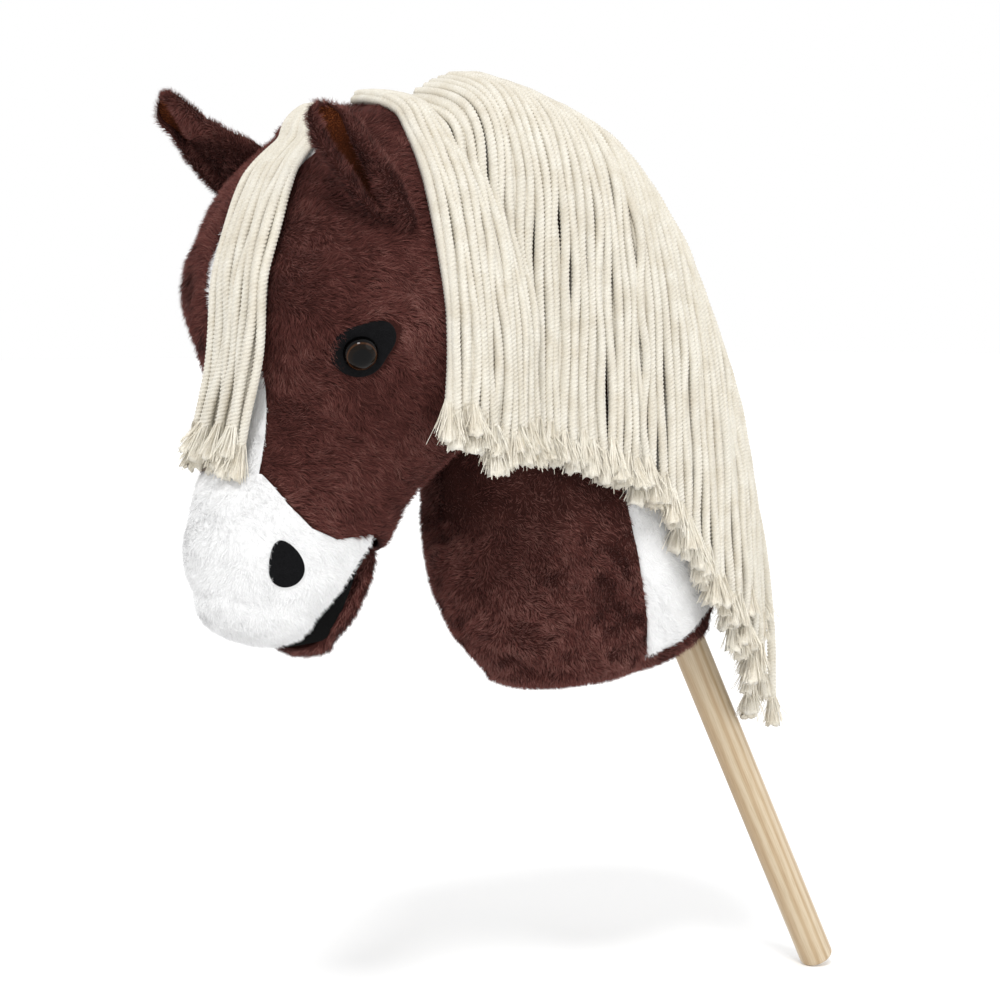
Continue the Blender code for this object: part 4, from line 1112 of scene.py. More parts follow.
def build_filling():
    """The filling of head and neck, which the plush hides."""
    for form, node in ((HEAD, "head_stuffing"), (NECK, "neck_stuffing")):
        inset = PLUSH + GAP + (NECK_INSET if form is NECK else 0.0)
        bm = working_mesh(lofted(form, inset, 4, 5), 48)
        if form is HEAD:
            corner, _, up, _ = mouth_lines()
            start = corner + up * (PLUSH + GAP)
            cut = bmesh.ops.bisect_plane(
                bm,
                geom=[*bm.verts, *bm.edges, *bm.faces],
                plane_co=(start.x, 0.0, start.y),
                plane_no=(-up.x, 0.0, -up.y),
                clear_outer=True,
            )["geom_cut"]
            bmesh.ops.holes_fill(bm, edges=[e for e in cut if isinstance(e, bmesh.types.BMEdge)])
        mesh = bpy.data.meshes.new(f"{node}_fibre")
        bm.to_mesh(mesh)
        bm.free()
        mesh.shade_smooth()
        piece = add_piece(f"{node}_fibre", mesh, FILLING, "head_and_stick", node, slot="polyester_filling")


def build_jaw():
    """The lower jaw with its pile, pressed down along the gape."""
    rng = np.random.default_rng(300)
    points, triangles, normals = triangle_arrays(working_mesh(lofted(JAW), 72))
    plump = summed_waves(points, JAW_LUMPS) + JAW_PLUMP * normals[:, 0].clip(0.0, 1.0)
    points = points + normals * plump[:, None]
    _, _, up, length = mouth_lines()
    above, beyond = mouth_place(points[:, 0], points[:, 2])
    floor = -gape_depth(beyond / length, *JAW_GAPE_ENDS)
    sunk = np.where(above > floor, above - floor, 0.0)
    points = points - sunk[:, None] * np.array((up.x, 0.0, up.y))
    mesh = mesh_of("plush_jaw", points, triangles)
    jaw = add_piece("plush_jaw", mesh, BROWN_SKIN, "head_and_stick", "lower_jaw", slot="brown_plush")
    place, out = scattered(points, triangles, normals, PILE_DENSITY, rng)
    x, z = place[:, 0], place[:, 2]
    above, beyond = mouth_place(x, z)
    keep = above < -gape_depth(beyond / length, *JAW_GAPE_ENDS) - JAW_PILE_GAP
    keep &= np.abs(place[:, 1]) > half_widths(HEAD_LOFT, x, z) * ~mouth_side(x, z)
    place, out = place[keep], out[keep]
    flow = np.stack((0 * place[:, 0] - 0.25, 0 * place[:, 0], 0 * place[:, 0] - 1.0), 1)
    hairs = pile_mesh("pile_jaw", place, out, flow, PILE_LOOKS["jaw"], rng)
    add_piece("pile_jaw", hairs, BROWN_PILE, "head_and_stick", slot="brown_plush")


def build_mouth():
    """The black cloth that closes the muzzle from below and lines the gape."""
    corner, along, up, length = mouth_lines()
    rows, columns = MOUTH_CLOTH_GRID
    points = []
    for layer in (0, 1):
        for r in range(rows):
            t = MOUTH_CLOTH_END * r / (rows - 1)
            depth = GAP
            if layer == 1:
                depth = float(gape_depth(t, *CLOTH_GAPE_ENDS) * np.interp(t, *zip(*MOUTH_CLOTH_RISE)))
            spot = corner + along * (length * t) - up * depth
            edge = corner + along * (length * t) + up * 0.001
            half = max(0.004, float(half_widths(HEAD_LOFT, edge.x, edge.y)) - 0.0012)
            half *= np.interp(t, *zip(*MOUTH_CLOTH_WIDTHS))
            for c in range(columns):
                across = 2 * c / (columns - 1) - 1
                points.append((spot.x, half * across, spot.y))
    at = np.arange(rows * columns * 2).reshape(2, rows, columns)
    faces = []
    for layer in at:
        quads = np.stack((layer[:-1, :-1], layer[:-1, 1:], layer[1:, 1:], layer[1:, :-1]), -1)
        faces += quads.reshape(-1, 4).tolist()
    sides = [at[:, row] for row in (0, -1)] + [at[:, :, column] for column in (0, -1)]
    for upper, lower in sides:
        faces += np.stack((upper[:-1], upper[1:], lower[1:], lower[:-1]), -1).tolist()
    mesh = mesh_of("mouth_cloth", points, faces, smooth=False)
    bm = bmesh.new()
    bm.from_mesh(mesh)
    bmesh.ops.recalc_face_normals(bm, faces=bm.faces)
    bm.to_mesh(mesh)
    bm.free()
    add_piece("mouth_cloth", mesh, BLACK_CLOTH, "head_and_stick", "mouth_lining", slot="black_cloth")


# Eyes and nostrils


def eye_patch_outline(points=72):
    """An almond: an oval whose rear upper end is drawn out."""
    outline = []
    for i in range(points):
        angle = math.tau * i / points
        pull = max(0.0, math.cos(angle - EYE_PATCH_TURN)) ** 6
        reach = 1 + EYE_PATCH_CORNER / EYE_PATCH_WIDTH * 2 * pull
        u, v = EYE_PATCH_WIDTH / 2 * math.cos(angle), EYE_PATCH_HEIGHT / 2 * math.sin(angle)
        outline.append((u * reach, v * reach))
    return outline


def nostril_outline(points=64):
    """An oval that is narrower above than below, with its narrow end turned to the front."""
    turn = Matrix.Rotation(NOSTRIL_TURN, 2)
    outline = []
    for i in range(points):
        angle = math.tau * i / points
        rise = math.sin(angle)
        width = NOSTRIL_WIDTH / 2 * (1 - NOSTRIL_NARROWING * rise)
        outline.append(tuple(turn @ Vector((width * math.cos(angle), NOSTRIL_HEIGHT / 2 * rise))))
    return outline


def add_felt(name, node, spot_x, spot_z, outline, side):
    """A felt shape that lies on the head, with a cut edge that stands in the pile."""
    seat, normal = side_place(spot_x, spot_z, side)
    rear, up = surface_turn(normal, side)
    points = []
    for share, lift in FELT_RINGS:
        for u, v in outline:
            flat = seat + rear * (u * share) + up * (v * share)
            y = side * float(half_widths(HEAD_LOFT, flat.x, flat.z))
            points.append(Vector((flat.x, y, flat.z)) + normal * (FELT * FELT_STAND * lift + GAP))
    quads = ring_grid(len(FELT_RINGS), len(outline))[2]
    mesh = mesh_of(name, np.array(points), quads[:, ::-side].tolist())
    return add_piece(name, mesh, BLACK_FELT, "head_and_stick", node, slot="black_felt")


def build_eyes():
    """The eyes on their stems, with the felt round them and the nostrils."""
    radius = EYE_DIAMETER / 2
    for side, label in ((-1, "left"), (1, "right")):
        add_felt(f"felt_eye_{label}", f"eye_patch_{label}", EYE_X, EYE_Z, eye_patch_outline(), side)
        add_felt(f"felt_nostril_{label}", f"nostril_{label}", NOSTRIL_X, NOSTRIL_Z, nostril_outline(), side)
        seat, normal = side_place(EYE_X, EYE_Z, side)
        seat = seat + normal * (FELT + 2 * GAP)
        rear, up = surface_turn(normal, side)
        angles = np.radians(np.linspace(90, 0, EYE_DOME_RINGS))
        profile = [(radius * math.cos(a), EYE_RIM + EYE_RISE * math.sin(a)) for a in angles]
        profile += [(radius, EYE_RIM * 0.4), (radius * 0.97, 0.0)]
        profile += [(EYE_STEM_RADIUS, 0.0), (EYE_STEM_RADIUS, -EYE_STEM_LENGTH)]
        points = []
        for r, height in profile:
            for i in range(ROUND_POINTS):
                angle = math.tau * i / ROUND_POINTS
                points.append(seat + normal * height + (rear * math.cos(angle) + up * math.sin(angle)) * r)
        quads = ring_grid(len(profile), ROUND_POINTS)[2]
        mesh = mesh_of(f"eyeball_{label}", np.array(points), quads[:, ::-side].tolist())
        layer = mesh.uv_layers.new(name=MAP_NAME)
        index = np.empty(len(mesh.loops), np.int32)
        mesh.loops.foreach_get("vertex_index", index)
        reach = np.array([r / radius if k < EYE_DOME_RINGS else 0.98 for k, (r, _) in enumerate(profile)])
        turned = (index % ROUND_POINTS) / ROUND_POINTS
        wrapped = np.repeat(turned.reshape(-1, 4).max(1) > 0.9, 4) & (turned < 0.1)
        places = np.stack((np.where(wrapped, 1.0, turned), reach[index // ROUND_POINTS]), 1)
        layer.uv.foreach_set("vector", places.astype(np.float32).ravel())
        add_piece(f"eyeball_{label}", mesh, EYE, "head_and_stick", f"eye_{label}", slot="amber_plastic")


# Ears


def ear_frame(seat):
    """The hinge's middle, the ear's length, its root's line and the side that it is hollow on."""
    joint = next(j for j in frame["joints"] if j["name"] == seat.joint)
    length = seat.lean.normalized()
    root = Vector(joint["axis"])
    hollow = root.cross(length).normalized()
    facing = 1 if hollow.dot(seat.hollow) > 0 else -1
    return np.array(joint["pos_m"]), np.array(length), np.array(root), np.array(hollow * facing)


def ear_seating(seat):
    """How far down the ear reaches to stand in the head, for places along its root's line."""
    middle, length, root, _ = ear_frame(seat)
    sides = np.linspace(-EAR_ROOT_REACH, EAR_ROOT_REACH, 17)
    steps = np.arange(0.010, -EAR_ROOT_REACH, -0.0005)
    starts = []
    for side in sides:
        places = middle + root * side + length * steps[:, None]
        inside = np.abs(places[:, 1]) < whole_half_widths(places[:, 0], places[:, 2])
        starts.append(steps[np.argmax(inside)] if inside.any() else steps[-1])
    return sides, np.clip(np.array(starts), *EAR_START_LIMITS) - EAR_SINK


def ear_fold(seat, share):
    """Half the width, the middle's shift, the front lip's end, the rear lip's start, and their height."""
    shares, halves, shifts, lips, gaps, heights = (np.array(row) for row in zip(*seat.shape))
    rows = (halves, shifts, lips, gaps, heights)
    half, shift, lip, gap, height = (float(np.interp(share, shares, row)) for row in rows)
    beyond = max(0.0, share - EAR_TIP_SHARE) / (1 - EAR_TIP_SHARE)
    half = max(EAR_THINNEST, half * math.sqrt(max(0.0, 1 - beyond ** EAR_TIP_POWER)))
    front = half * (lip - 1)
    return half, shift, front, front + half * gap, min(height, half * 0.7)


def ear_place(seat, share, across, height, shift):
    """A point of the ear, whose sides come forward."""
    middle, length, root, hollow = EAR_FRAMES[seat.joint]
    sides, starts = EAR_SEATINGS[seat.joint]
    start = np.interp(across + shift, sides, starts)
    along = seat.length * share + start * (1 - share) ** 5
    curl = EAR_CURL * across ** 2 * min(1.0, 2.0 * share + 0.25)
    return middle + length * along + root * (across + shift) + hollow * (height + curl)


def ear_ring(seat, share, back_points=18, rear_points=17, front_points=15):
    """One closed section of the ear: its back, its rear lip, the crease and its front lip."""
    half, shift, front, rear, lip = ear_fold(seat, share)
    ring = []
    for t in np.linspace(0, math.pi, back_points):
        across = -half * math.cos(t)
        ring.append(ear_place(seat, share, across, -min(EAR_BACK, half * 0.5) * math.sin(t), shift))
    for low, high, count in ((half, rear, rear_points), (front, -half, front_points)):
        for t in np.linspace(0, math.pi, count)[1:-1]:
            across = (low + high) / 2 + (low - high) / 2 * math.cos(t)
            ring.append(ear_place(seat, share, across, lip * math.sin(t) ** 0.7, shift))
        if low == half:
            ring.append(ear_place(seat, share, rear, 0.0, shift))
            ring.append(ear_place(seat, share, front, 0.0, shift))
    return ring


def faced_surface(points, triangles, facing=None):
    """Points, triangles and normals of a surface that faces the given way, or else away from its middle."""
    a, b, c = (points[triangles[:, k]] for k in range(3))
    normal = np.cross(b - a, c - a)
    if (normal * (a - points.mean(0) if facing is None else facing)).sum() < 0:
        triangles, normal = triangles[:, ::-1], -normal
    total = np.zeros_like(points)
    for k in range(3):
        np.add.at(total, triangles[:, k], normal)
    return points, triangles, unit(total)


def ring_surface(rings):
    """Points, triangles and normals of a tube through closed rings, with its ends closed."""
    rings = np.array(rings)
    rows, count = rings.shape[:2]
    at, after, quads = ring_grid(rows, count)
    triangles = [quads[:, [0, 1, 2]], quads[:, [0, 2, 3]]]
    points = [rings.reshape(-1, 3)]
    for row, k in ((0, 0), (-1, 1)):
        tip = rows * count + k
        points.append(rings[row].mean(0, keepdims=True))
        pair = (at[row], after[row]) if k else (after[row], at[row])
        triangles.append(np.stack((*pair, np.full(count, tip)), 1))
    return faced_surface(np.concatenate(points), np.concatenate(triangles))


def grid_surface(grid, facing):
    """Points, triangles and normals of a grid, facing the given way."""
    rows, columns = grid.shape[:2]
    at = np.arange(rows * columns).reshape(rows, columns)
    first = np.stack((at[:-1, :-1], at[:-1, 1:], at[1:, 1:]), -1).reshape(-1, 3)
    second = np.stack((at[:-1, :-1], at[1:, 1:], at[1:, :-1]), -1).reshape(-1, 3)
    return faced_surface(grid.reshape(-1, 3), np.concatenate((first, second)), facing)


def build_ears():
    """The ears' plush and velvet, each with its pile."""
    for k, (seat, label) in enumerate(((LEFT_EAR, "left"), (RIGHT_EAR, "right"))):
        rng = np.random.default_rng(400 + k)
        body = f"ear_{label}"
        middle, length, _, hollow = EAR_FRAMES[seat.joint]
        shares = np.sin(np.linspace(0, math.pi / 2, EAR_RINGS)) ** 1.1
        points, triangles, normals = ring_surface([ear_ring(seat, s) for s in shares])
        points = points + normals * (EAR_LUMP * waves(points, 0.022, 31 + k))[:, None]
        name = f"ear_plush_{label}"
        mesh = mesh_of(name, points, triangles)
        piece = add_piece(name, mesh, BROWN_SKIN, body, f"ear_shell_{label}", slot="brown_plush")

        grid = []
        for share in np.linspace(*LINING_SHARES, LINING_ROWS):
            _, shift, front, rear, _ = ear_fold(seat, share)
            places = np.linspace(front - LINING_CUP, rear + LINING_CUP, LINING_COLUMNS)
            lifts = LINING_LIFT + LINING_CUP * np.linspace(-1, 1, LINING_COLUMNS) ** 4
            grid.append([ear_place(seat, share, a, lift, shift) for a, lift in zip(places, lifts)])
        lining = grid_surface(np.array(grid), hollow)
        name = f"ear_velvet_{label}"
        mesh = mesh_of(name, lining[0], lining[1])
        velvet = add_piece(name, mesh, RUST_SKIN, body, f"ear_lining_{label}", slot="rust_velvet")
        add_cloth(velvet, LINING_LIFT * 0.6)

        place, out = scattered(points, triangles, normals, PILE_DENSITY * EAR_CROWDING, rng)
        keep = ~near_grid(place, np.array(grid), LINING_LIFT + 0.0004)
        place, out = place[keep], out[keep]
        flow = np.repeat(length[None], len(place), 0)
        name = f"ear_pile_{label}"
        hairs = pile_mesh(name, place, out, flow, PILE_LOOKS["ear"], rng)
        add_piece(name, hairs, BROWN_PILE, body, slot="brown_plush")

        place, out = scattered(*lining, PILE_DENSITY * LINING_CROWDING, rng)
        flow = np.repeat(length[None], len(place), 0)
        # Painted shade: the velvet's pile is darker towards the ear's root, inside its hollow
        shade = np.interp((place - middle) @ length / seat.length, *zip(*LINING_SHADES))
        name = f"ear_velvet_pile_{label}"
        looks = (LINING_PILE_LENGTH, 0.7, shade, 0.6)
        hairs = pile_mesh(name, place, out, flow, looks, rng, PILE_WIDTH * 0.8)
        add_piece(name, hairs, RUST_PILE, body, slot="rust_velvet")


def near_grid(place, grid, reach):
    """Whether places lie within reach of a grid's points."""
    points = grid.reshape(-1, 3)
    near = np.zeros(len(place), bool)
    step = 4000
    for start in range(0, len(place), step):
        block = place[start:start + step]
        gaps = ((block[:, None] - points[None]) ** 2).sum(-1).min(1)
        near[start:start + step] = gaps < reach ** 2
    return near


# Cords


def travelled(path):
    """The distance along a path to each of its points."""
    return np.concatenate(([0.0], np.cumsum(np.linalg.norm(np.diff(path, axis=0), axis=1))))


def resampled(path, step):
    """Points at equal steps along a path."""
    path = np.asarray(path)
    lengths = travelled(path)
    wanted = np.arange(0.0, lengths[-1], step)
    return np.stack([np.interp(wanted, lengths, path[:, k]) for k in range(3)], 1)


def smoothed(path, passes):
    """The path with its corners rounded off and its ends kept."""
    for _ in range(passes):
        path = path.copy()
        path[1:-1] = (path[:-2] + 2 * path[1:-1] + path[2:]) / 4
    return path


def cord_frames(path):
    """The direction along the path and two directions across it, without twist."""
    along = unit(np.gradient(path, axis=0))
    side = np.cross(along[0], (0.3, 0.9, 0.2))
    side /= np.linalg.norm(side)
    sides = []
    for direction in along:
        side = side - direction * (side @ direction)
        side = side / np.linalg.norm(side)
        sides.append(side)
    sides = np.array(sides)
    return along, sides, np.cross(along, sides)


def twisted_cord(path, diameter, ring, phase, strip, strips, rng, tuft_length):
    """A laid cord with raised plies that turn along it and a flared end, with its strip of the map."""
    along, side, other = cord_frames(path)
    distance = travelled(path)
    angle = math.tau * np.arange(ring) / ring
    lay = angle[None] - math.tau * distance[:, None] / CORD_PITCH + phase
    radius = diameter / 2 * (1 - CORD_LOBE + CORD_LOBE * np.abs(np.cos(lay * CORD_PLIES / 2)) * 2)
    radius = radius * np.minimum(1.0, 0.35 + distance / 0.004)[:, None]
    v = CORD_MAP[0] + CORD_MAP[1] * distance / distance[-1]
    shares = TUFT_SHARES
    flutes = 1 + 0.14 * np.sin(5 * angle + phase) + rng.normal(0, 0.09, ring)
    flare = diameter / 2 * (1 + (TUFT_FLARE - 1) * shares[:, None] ** 1.3) * TUFT_CORE * flutes
    turned = along[-1] + side[-1] * rng.normal(0, TUFT_TURN) + other[-1] * rng.normal(0, TUFT_TURN * 0.5)
    turned = turned / np.linalg.norm(turned)
    centres = np.concatenate((path, path[-1] + turned * (tuft_length * shares)[:, None]))
    v = np.concatenate((v, TUFT_MAP[0] + TUFT_MAP[1] * shares, (CUT_MAP,)))
    radius = np.concatenate((radius, flare))
    side = np.concatenate((side, np.repeat(side[-1:], len(shares), 0)))
    other = np.concatenate((other, np.repeat(other[-1:], len(shares), 0)))
    rings = centres[:, None] + radius[..., None] * (
        side[:, None] * np.cos(angle)[None, :, None] + other[:, None] * np.sin(angle)[None, :, None]
    )
    rings[-1] += turned * rng.normal(0, 0.0015, ring)[:, None]
    cap = centres[-1:] + (rings[-1:] - centres[-1:]) * 0.25 - turned * 0.002
    rings = np.concatenate((rings, cap))
    corners = ring_grid(len(rings), ring)[2]
    u = (strip + 0.05 + 0.9 * np.arange(ring + 1) / ring) / strips
    (u0, v0), (u1, v1) = np.meshgrid(u[:-1], v[:-1]), np.meshgrid(u[1:], v[1:])
    spots = np.stack((u0, v0, u1, v0, u1, v1, u0, v1), -1).reshape(-1, 4, 2)
    triangles = np.concatenate((corners[:, [0, 1, 2]], corners[:, [0, 2, 3]]))
    places = np.concatenate((spots[:, [0, 1, 2]], spots[:, [0, 2, 3]])).reshape(-1, 2)
    return (rings.reshape(-1, 3), triangles, places), (path[-1], turned, side[-1], other[-1])


def tuft(end, diameter, rng, strip, strips, length):
    """The strands round a cord's brushed end."""
    place, along, side, other = end
    strands = TUFT_STRANDS
    angle = rng.uniform(0, math.tau, strands)
    share = rng.uniform(0.45, 1.22, strands)
    out = side * np.cos(angle)[:, None] + other * np.sin(angle)[:, None]
    radius = diameter / 2
    start = place - along * 0.003 + out * (share * radius * 0.85)[:, None]
    flare = (share * radius * (TUFT_FLARE - 1) * rng.uniform(0.8, 1.3, strands))[:, None]
    reach = (length * rng.uniform(0.9, 1.07, strands))[:, None]
    stray = rng.normal(0, 0.0009, (strands, 3))
    middle = start + along * reach * 0.5 + out * flare * 0.40 + stray
    tip = start + along * reach + out * flare + stray * 2.0 + rng.normal(0, 0.0012, (strands, 3))
    across = unit(np.cross(np.broadcast_to(along, out.shape), rng.normal(size=(strands, 3))))
    half = STRAND_WIDTH / 2 * rng.uniform(0.7, 1.3, strands)[:, None]
    points = np.stack(
        (
            start - across * half,
            start + across * half,
            middle - across * half,
            middle + across * half,
            tip - across * half * 0.7,
            tip + across * half * 0.7,
        ),
        1,
    ).reshape(-1, 3)
    base = (np.arange(strands) * 6)[:, None]
    shape = np.array(((0, 1, 3), (0, 3, 2), (2, 3, 5), (2, 5, 4)))
    triangles = (base[:, None] + shape[None]).reshape(-1, 3)
    u = (strip + 0.1 + 0.8 * rng.random(strands)) / strips
    low, high = u - 0.05 / strips, u + 0.05 / strips
    v = np.array((0.90, 0.90, 0.94, 0.94, 0.975, 0.975))
    spots = [np.stack((high if k % 2 else low, np.full(strands, v[k])), 1) for k in range(6)]
    spots = np.stack(spots, 1)
    places = spots[:, shape].reshape(-1, 2)
    return points, triangles, places


def joined(parts):
    """Several (points, triangles, places) as one."""
    start, points, triangles, places = 0, [], [], []
    for part in parts:
        points.append(part[0])
        triangles.append(part[1] + start)
        places.append(part[2])
        start += len(part[0])
    return np.concatenate(points), np.concatenate(triangles), np.concatenate(places)


def cord_bundle(name, paths, body, node, rng, tops):
    """Cords with brushed ends as one piece. The lower layer's cords are divided less finely."""
    parts = []
    for k, (path, top) in enumerate(zip(paths, tops)):
        step, ring = FINE_CORD if top else COARSE_CORD
        diameter = CORD_DIAMETER * rng.uniform(*CORD_DIAMETERS)
        length = TUFT_LENGTH * rng.uniform(*TUFT_LENGTHS)
        phase = rng.uniform(0, math.tau)
        cord, end = twisted_cord(resampled(path, step), diameter, ring, phase, k, len(paths), rng, length)
        parts += [cord, tuft(end, diameter, rng, k, len(paths), length)]
    points, triangles, places = joined(parts)
    mesh = triangle_mesh(name, points, triangles, places)
    mesh.shade_smooth()
    return add_piece(name, mesh, COTTON, body, node, slot="cotton_cord")


def mane_share(x):
    """How far along the crest a place lies, from 0 at the mane's front to 1 at its rear."""
    return (x - MANE_FRONT_X) / (MANE_REAR_X - MANE_FRONT_X)


def mane_path(x, lift, length, tuck):
    """The way of a cord from one x on the crest over the left side and down.
    Those at the rear fan out, and tuck is how far the cord's end is drawn in to the front."""
    steps = 9
    path = []
    for i in range(steps):
        y = -MANE_ROOT_SIDE + (MANE_BEND + MANE_ROOT_SIDE) * i / (steps - 1)
        path.append((x, -GAP - y, top_of(x, abs(y), -lift)))
    heights = np.arange(path[-1][2] - MANE_STEP, path[-1][2] - length - 0.01, -MANE_STEP)
    drop = path[-1][2] - heights
    left = np.clip(1 - drop / MANE_FAN_DEPTH, 0.0, None)
    low = (drop / MANE_CORD_LENGTH) ** 2
    fanned = x + mane_share(x) ** 3 * (MANE_FAN * (1 - left ** 2) + MANE_FLARE * low) - tuck * low
    widths = np.maximum.accumulate(np.maximum(whole_half_widths(fanned, heights, -lift), MANE_BEND))
    path = np.array(path + list(zip(fanned, -GAP - widths, heights)))
    path = smoothed(path, 6)
    distance = travelled(path)
    end = np.searchsorted(distance, length)
    return path[:end]


def swayed(path, rng, reach):
    """The path with a cord's own slow bends, none at its root."""
    distance = travelled(path)
    freed = np.minimum(1.0, distance / SWAY_FREED_AFTER)
    path = path.copy()
    for axis, size in ((0, reach), (1, reach * 0.35)):
        bend = 0.0
        for wave in SWAY_LENGTHS:
            bend = bend + rng.normal() * np.sin(math.tau * distance / wave + rng.uniform(0, math.tau))
        path[:, axis] += size * freed * bend / 1.7
    return path


def build_mane():
    """The mane's locks, each of two layers of cords."""
    lift = GAP + TAPE_CLOTH + GAP
    width = (MANE_REAR_X - MANE_FRONT_X) / MANE_LOCK_COUNT
    spacing = width / MANE_CORDS_PER_LOCK
    for i in range(MANE_LOCK_COUNT):
        rng = np.random.default_rng(500 + i)
        paths, tops = [], []
        for layer in (0, 1):
            for k in range(MANE_CORDS_PER_LOCK):
                x = MANE_FRONT_X + width * i + spacing * (k + MANE_LAYER_STARTS[layer])
                x = x + rng.normal(0, 0.0006)
                height = lift + CORD_DIAMETER * MANE_LAYER_HEIGHTS[layer] + rng.uniform(0, 0.0008)
                share = mane_share(x)
                shorter = MANE_FRONT_SHORTENING * max(0.0, 1 - share / MANE_FRONT_SHARE)
                drooping = min(1.0, max(0.0, (share - MANE_DROOP_START) / MANE_DROOP_SPAN))
                longer = MANE_REAR_DROOP * math.sin(math.pi * drooping)
                rear = min(1.0, max(0.0, (share - MANE_STACK_SHARE) / (1 - MANE_STACK_SHARE)))
                shorter += MANE_STACK_HEIGHT * rear * MANE_STACK_STEPS[layer][k]
                length = MANE_CORD_LENGTH - shorter + longer - TUFT_LENGTH
                length = length - rng.uniform(0.0, MANE_UNEVENNESS) + 0.004 * layer
                tuck = MANE_TUCK * rear * (1 - layer)
                paths.append(swayed(mane_path(x, height, length, tuck), rng, MANE_CORD_SWAY))
                tops.append(layer == 1)
        cord_bundle(f"mane_cords_{i + 1}", paths, "head_and_stick", f"mane_lock_{i + 1}", rng, tops)


def build_tape():
    """The band that the cords are sewn to, along the crest."""
    rows = 90
    half = MANE_TAPE_WIDTH / 2
    grid = []
    for r in range(rows):
        x = MANE_FRONT_X + (MANE_REAR_X - MANE_FRONT_X) * math.sin(math.pi / 2 * r / (rows - 1))
        line = []
        for y in np.linspace(-half * 0.2, half, 7):
            line.append((x, y, top_of(x, abs(y), -(GAP + TAPE_CLOTH))))
        grid.append(line)
    grid = np.array(grid)
    grid[:, :, 2] = smoothed(grid[:, :, 2], 3)
    surface = grid_surface(grid, np.array((0.0, 0.0, 1.0)))
    mesh = mesh_of("mane_band", surface[0], surface[1])
    band = add_piece("mane_band", mesh, BAND, "head_and_stick", "mane_tape", slot="cotton_cord")
    add_cloth(band, TAPE_CLOTH)


def forelock_path(lift):
    """The way of a cord from the poll over the forehead and down, in the middle plane."""
    loft = lofted(HEAD, -lift)
    fronts = loft.centre + loft.arm
    start = (FORELOCK_ROOT_X, top_of(FORELOCK_ROOT_X, 0.0, -lift))
    path = [start]
    for x, z in fronts:
        if x < FORELOCK_ROOT_X and z < start[1]:
            path.append((min(x, path[-1][0]), z))
    path = np.array(path)
    return np.stack((path[:, 0], 0 * path[:, 0], path[:, 1]), 1)


def build_forelock():
    """The cords that hang from the poll over the forehead, in two layers."""
    rng = np.random.default_rng(600)
    paths, tops = [], []
    for layer in (0, 1):
        middle = forelock_path(GAP + CORD_DIAMETER * FORELOCK_LAYER_HEIGHTS[layer])
        base = smoothed(resampled(middle, FORELOCK_STEP), 8)
        for k in range(FORELOCK_CORDS - layer):
            share = 2 * (k + 0.5 + 0.5 * layer) / FORELOCK_CORDS - 1
            length = FORELOCK_LENGTH - TUFT_LENGTH * 0.95 - rng.uniform(0.0, FORELOCK_UNEVENNESS)
            path = resampled(base, FORELOCK_STEP)
            distance = FORELOCK_STEP * np.arange(len(path))
            spread = np.minimum(1.0, distance / FORELOCK_SPREAD)
            half = (FORELOCK_ROOT_WIDTH + (FORELOCK_WIDTH - FORELOCK_ROOT_WIDTH) * spread) / 2
            along = distance / FORELOCK_LENGTH
            drift = FORELOCK_DRIFT * along - FORELOCK_SWAY * np.sin(math.pi * along)
            path[:, 1] = drift + half * share
            path = path[distance < length]
            paths.append(swayed(path, rng, FORELOCK_CORD_SWAY))
            tops.append(True)
    cord_bundle("forelock_cords", paths, "forelock", "forelock", rng, tops)


# Stick


def stick_turn():
    """The turn that leans an upright piece along the stick."""
    lean = Vector((-math.sin(STICK_LEAN), 0.0, math.cos(STICK_LEAN)))
    return Vector((0.0, 0.0, 1.0)).rotation_difference(lean).to_matrix()


def build_stick():
    """The round stick with its rounded ends."""
    radius = STICK_DIAMETER / 2
    bend = [
        (radius - STICK_END_ROUND * (1 - math.sin(a)), STICK_END_ROUND * (1 - math.cos(a)))
        for a in np.radians(np.linspace(0, 90, 9))
    ]
    profile = [(0.0, 0.0), (radius * 0.4, 0.0)] + bend
    profile += [(radius, h) for h in np.linspace(0.02, STICK_LENGTH - 0.01, 40)]
    profile += [(r, STICK_LENGTH - h) for r, h in reversed(bend)] + [(0.0, STICK_LENGTH)]
    points = []
    for r, height in profile:
        for i in range(ROUND_POINTS):
            angle = math.tau * i / ROUND_POINTS
            points.append((r * math.cos(angle), r * math.sin(angle), height))
    mesh = mesh_of("pine_stick", points, ring_grid(len(profile), ROUND_POINTS)[2].tolist())
    mesh.transform(stick_turn().to_4x4())
    bm = bmesh.new()
    bm.from_mesh(mesh)
    bmesh.ops.remove_doubles(bm, verts=bm.verts, dist=1e-6)
    bm.to_mesh(mesh)
    bm.free()
    mesh.shade_smooth()
    add_piece("pine_stick", mesh, PINE, "head_and_stick", "stick", slot="pine")


# Stage


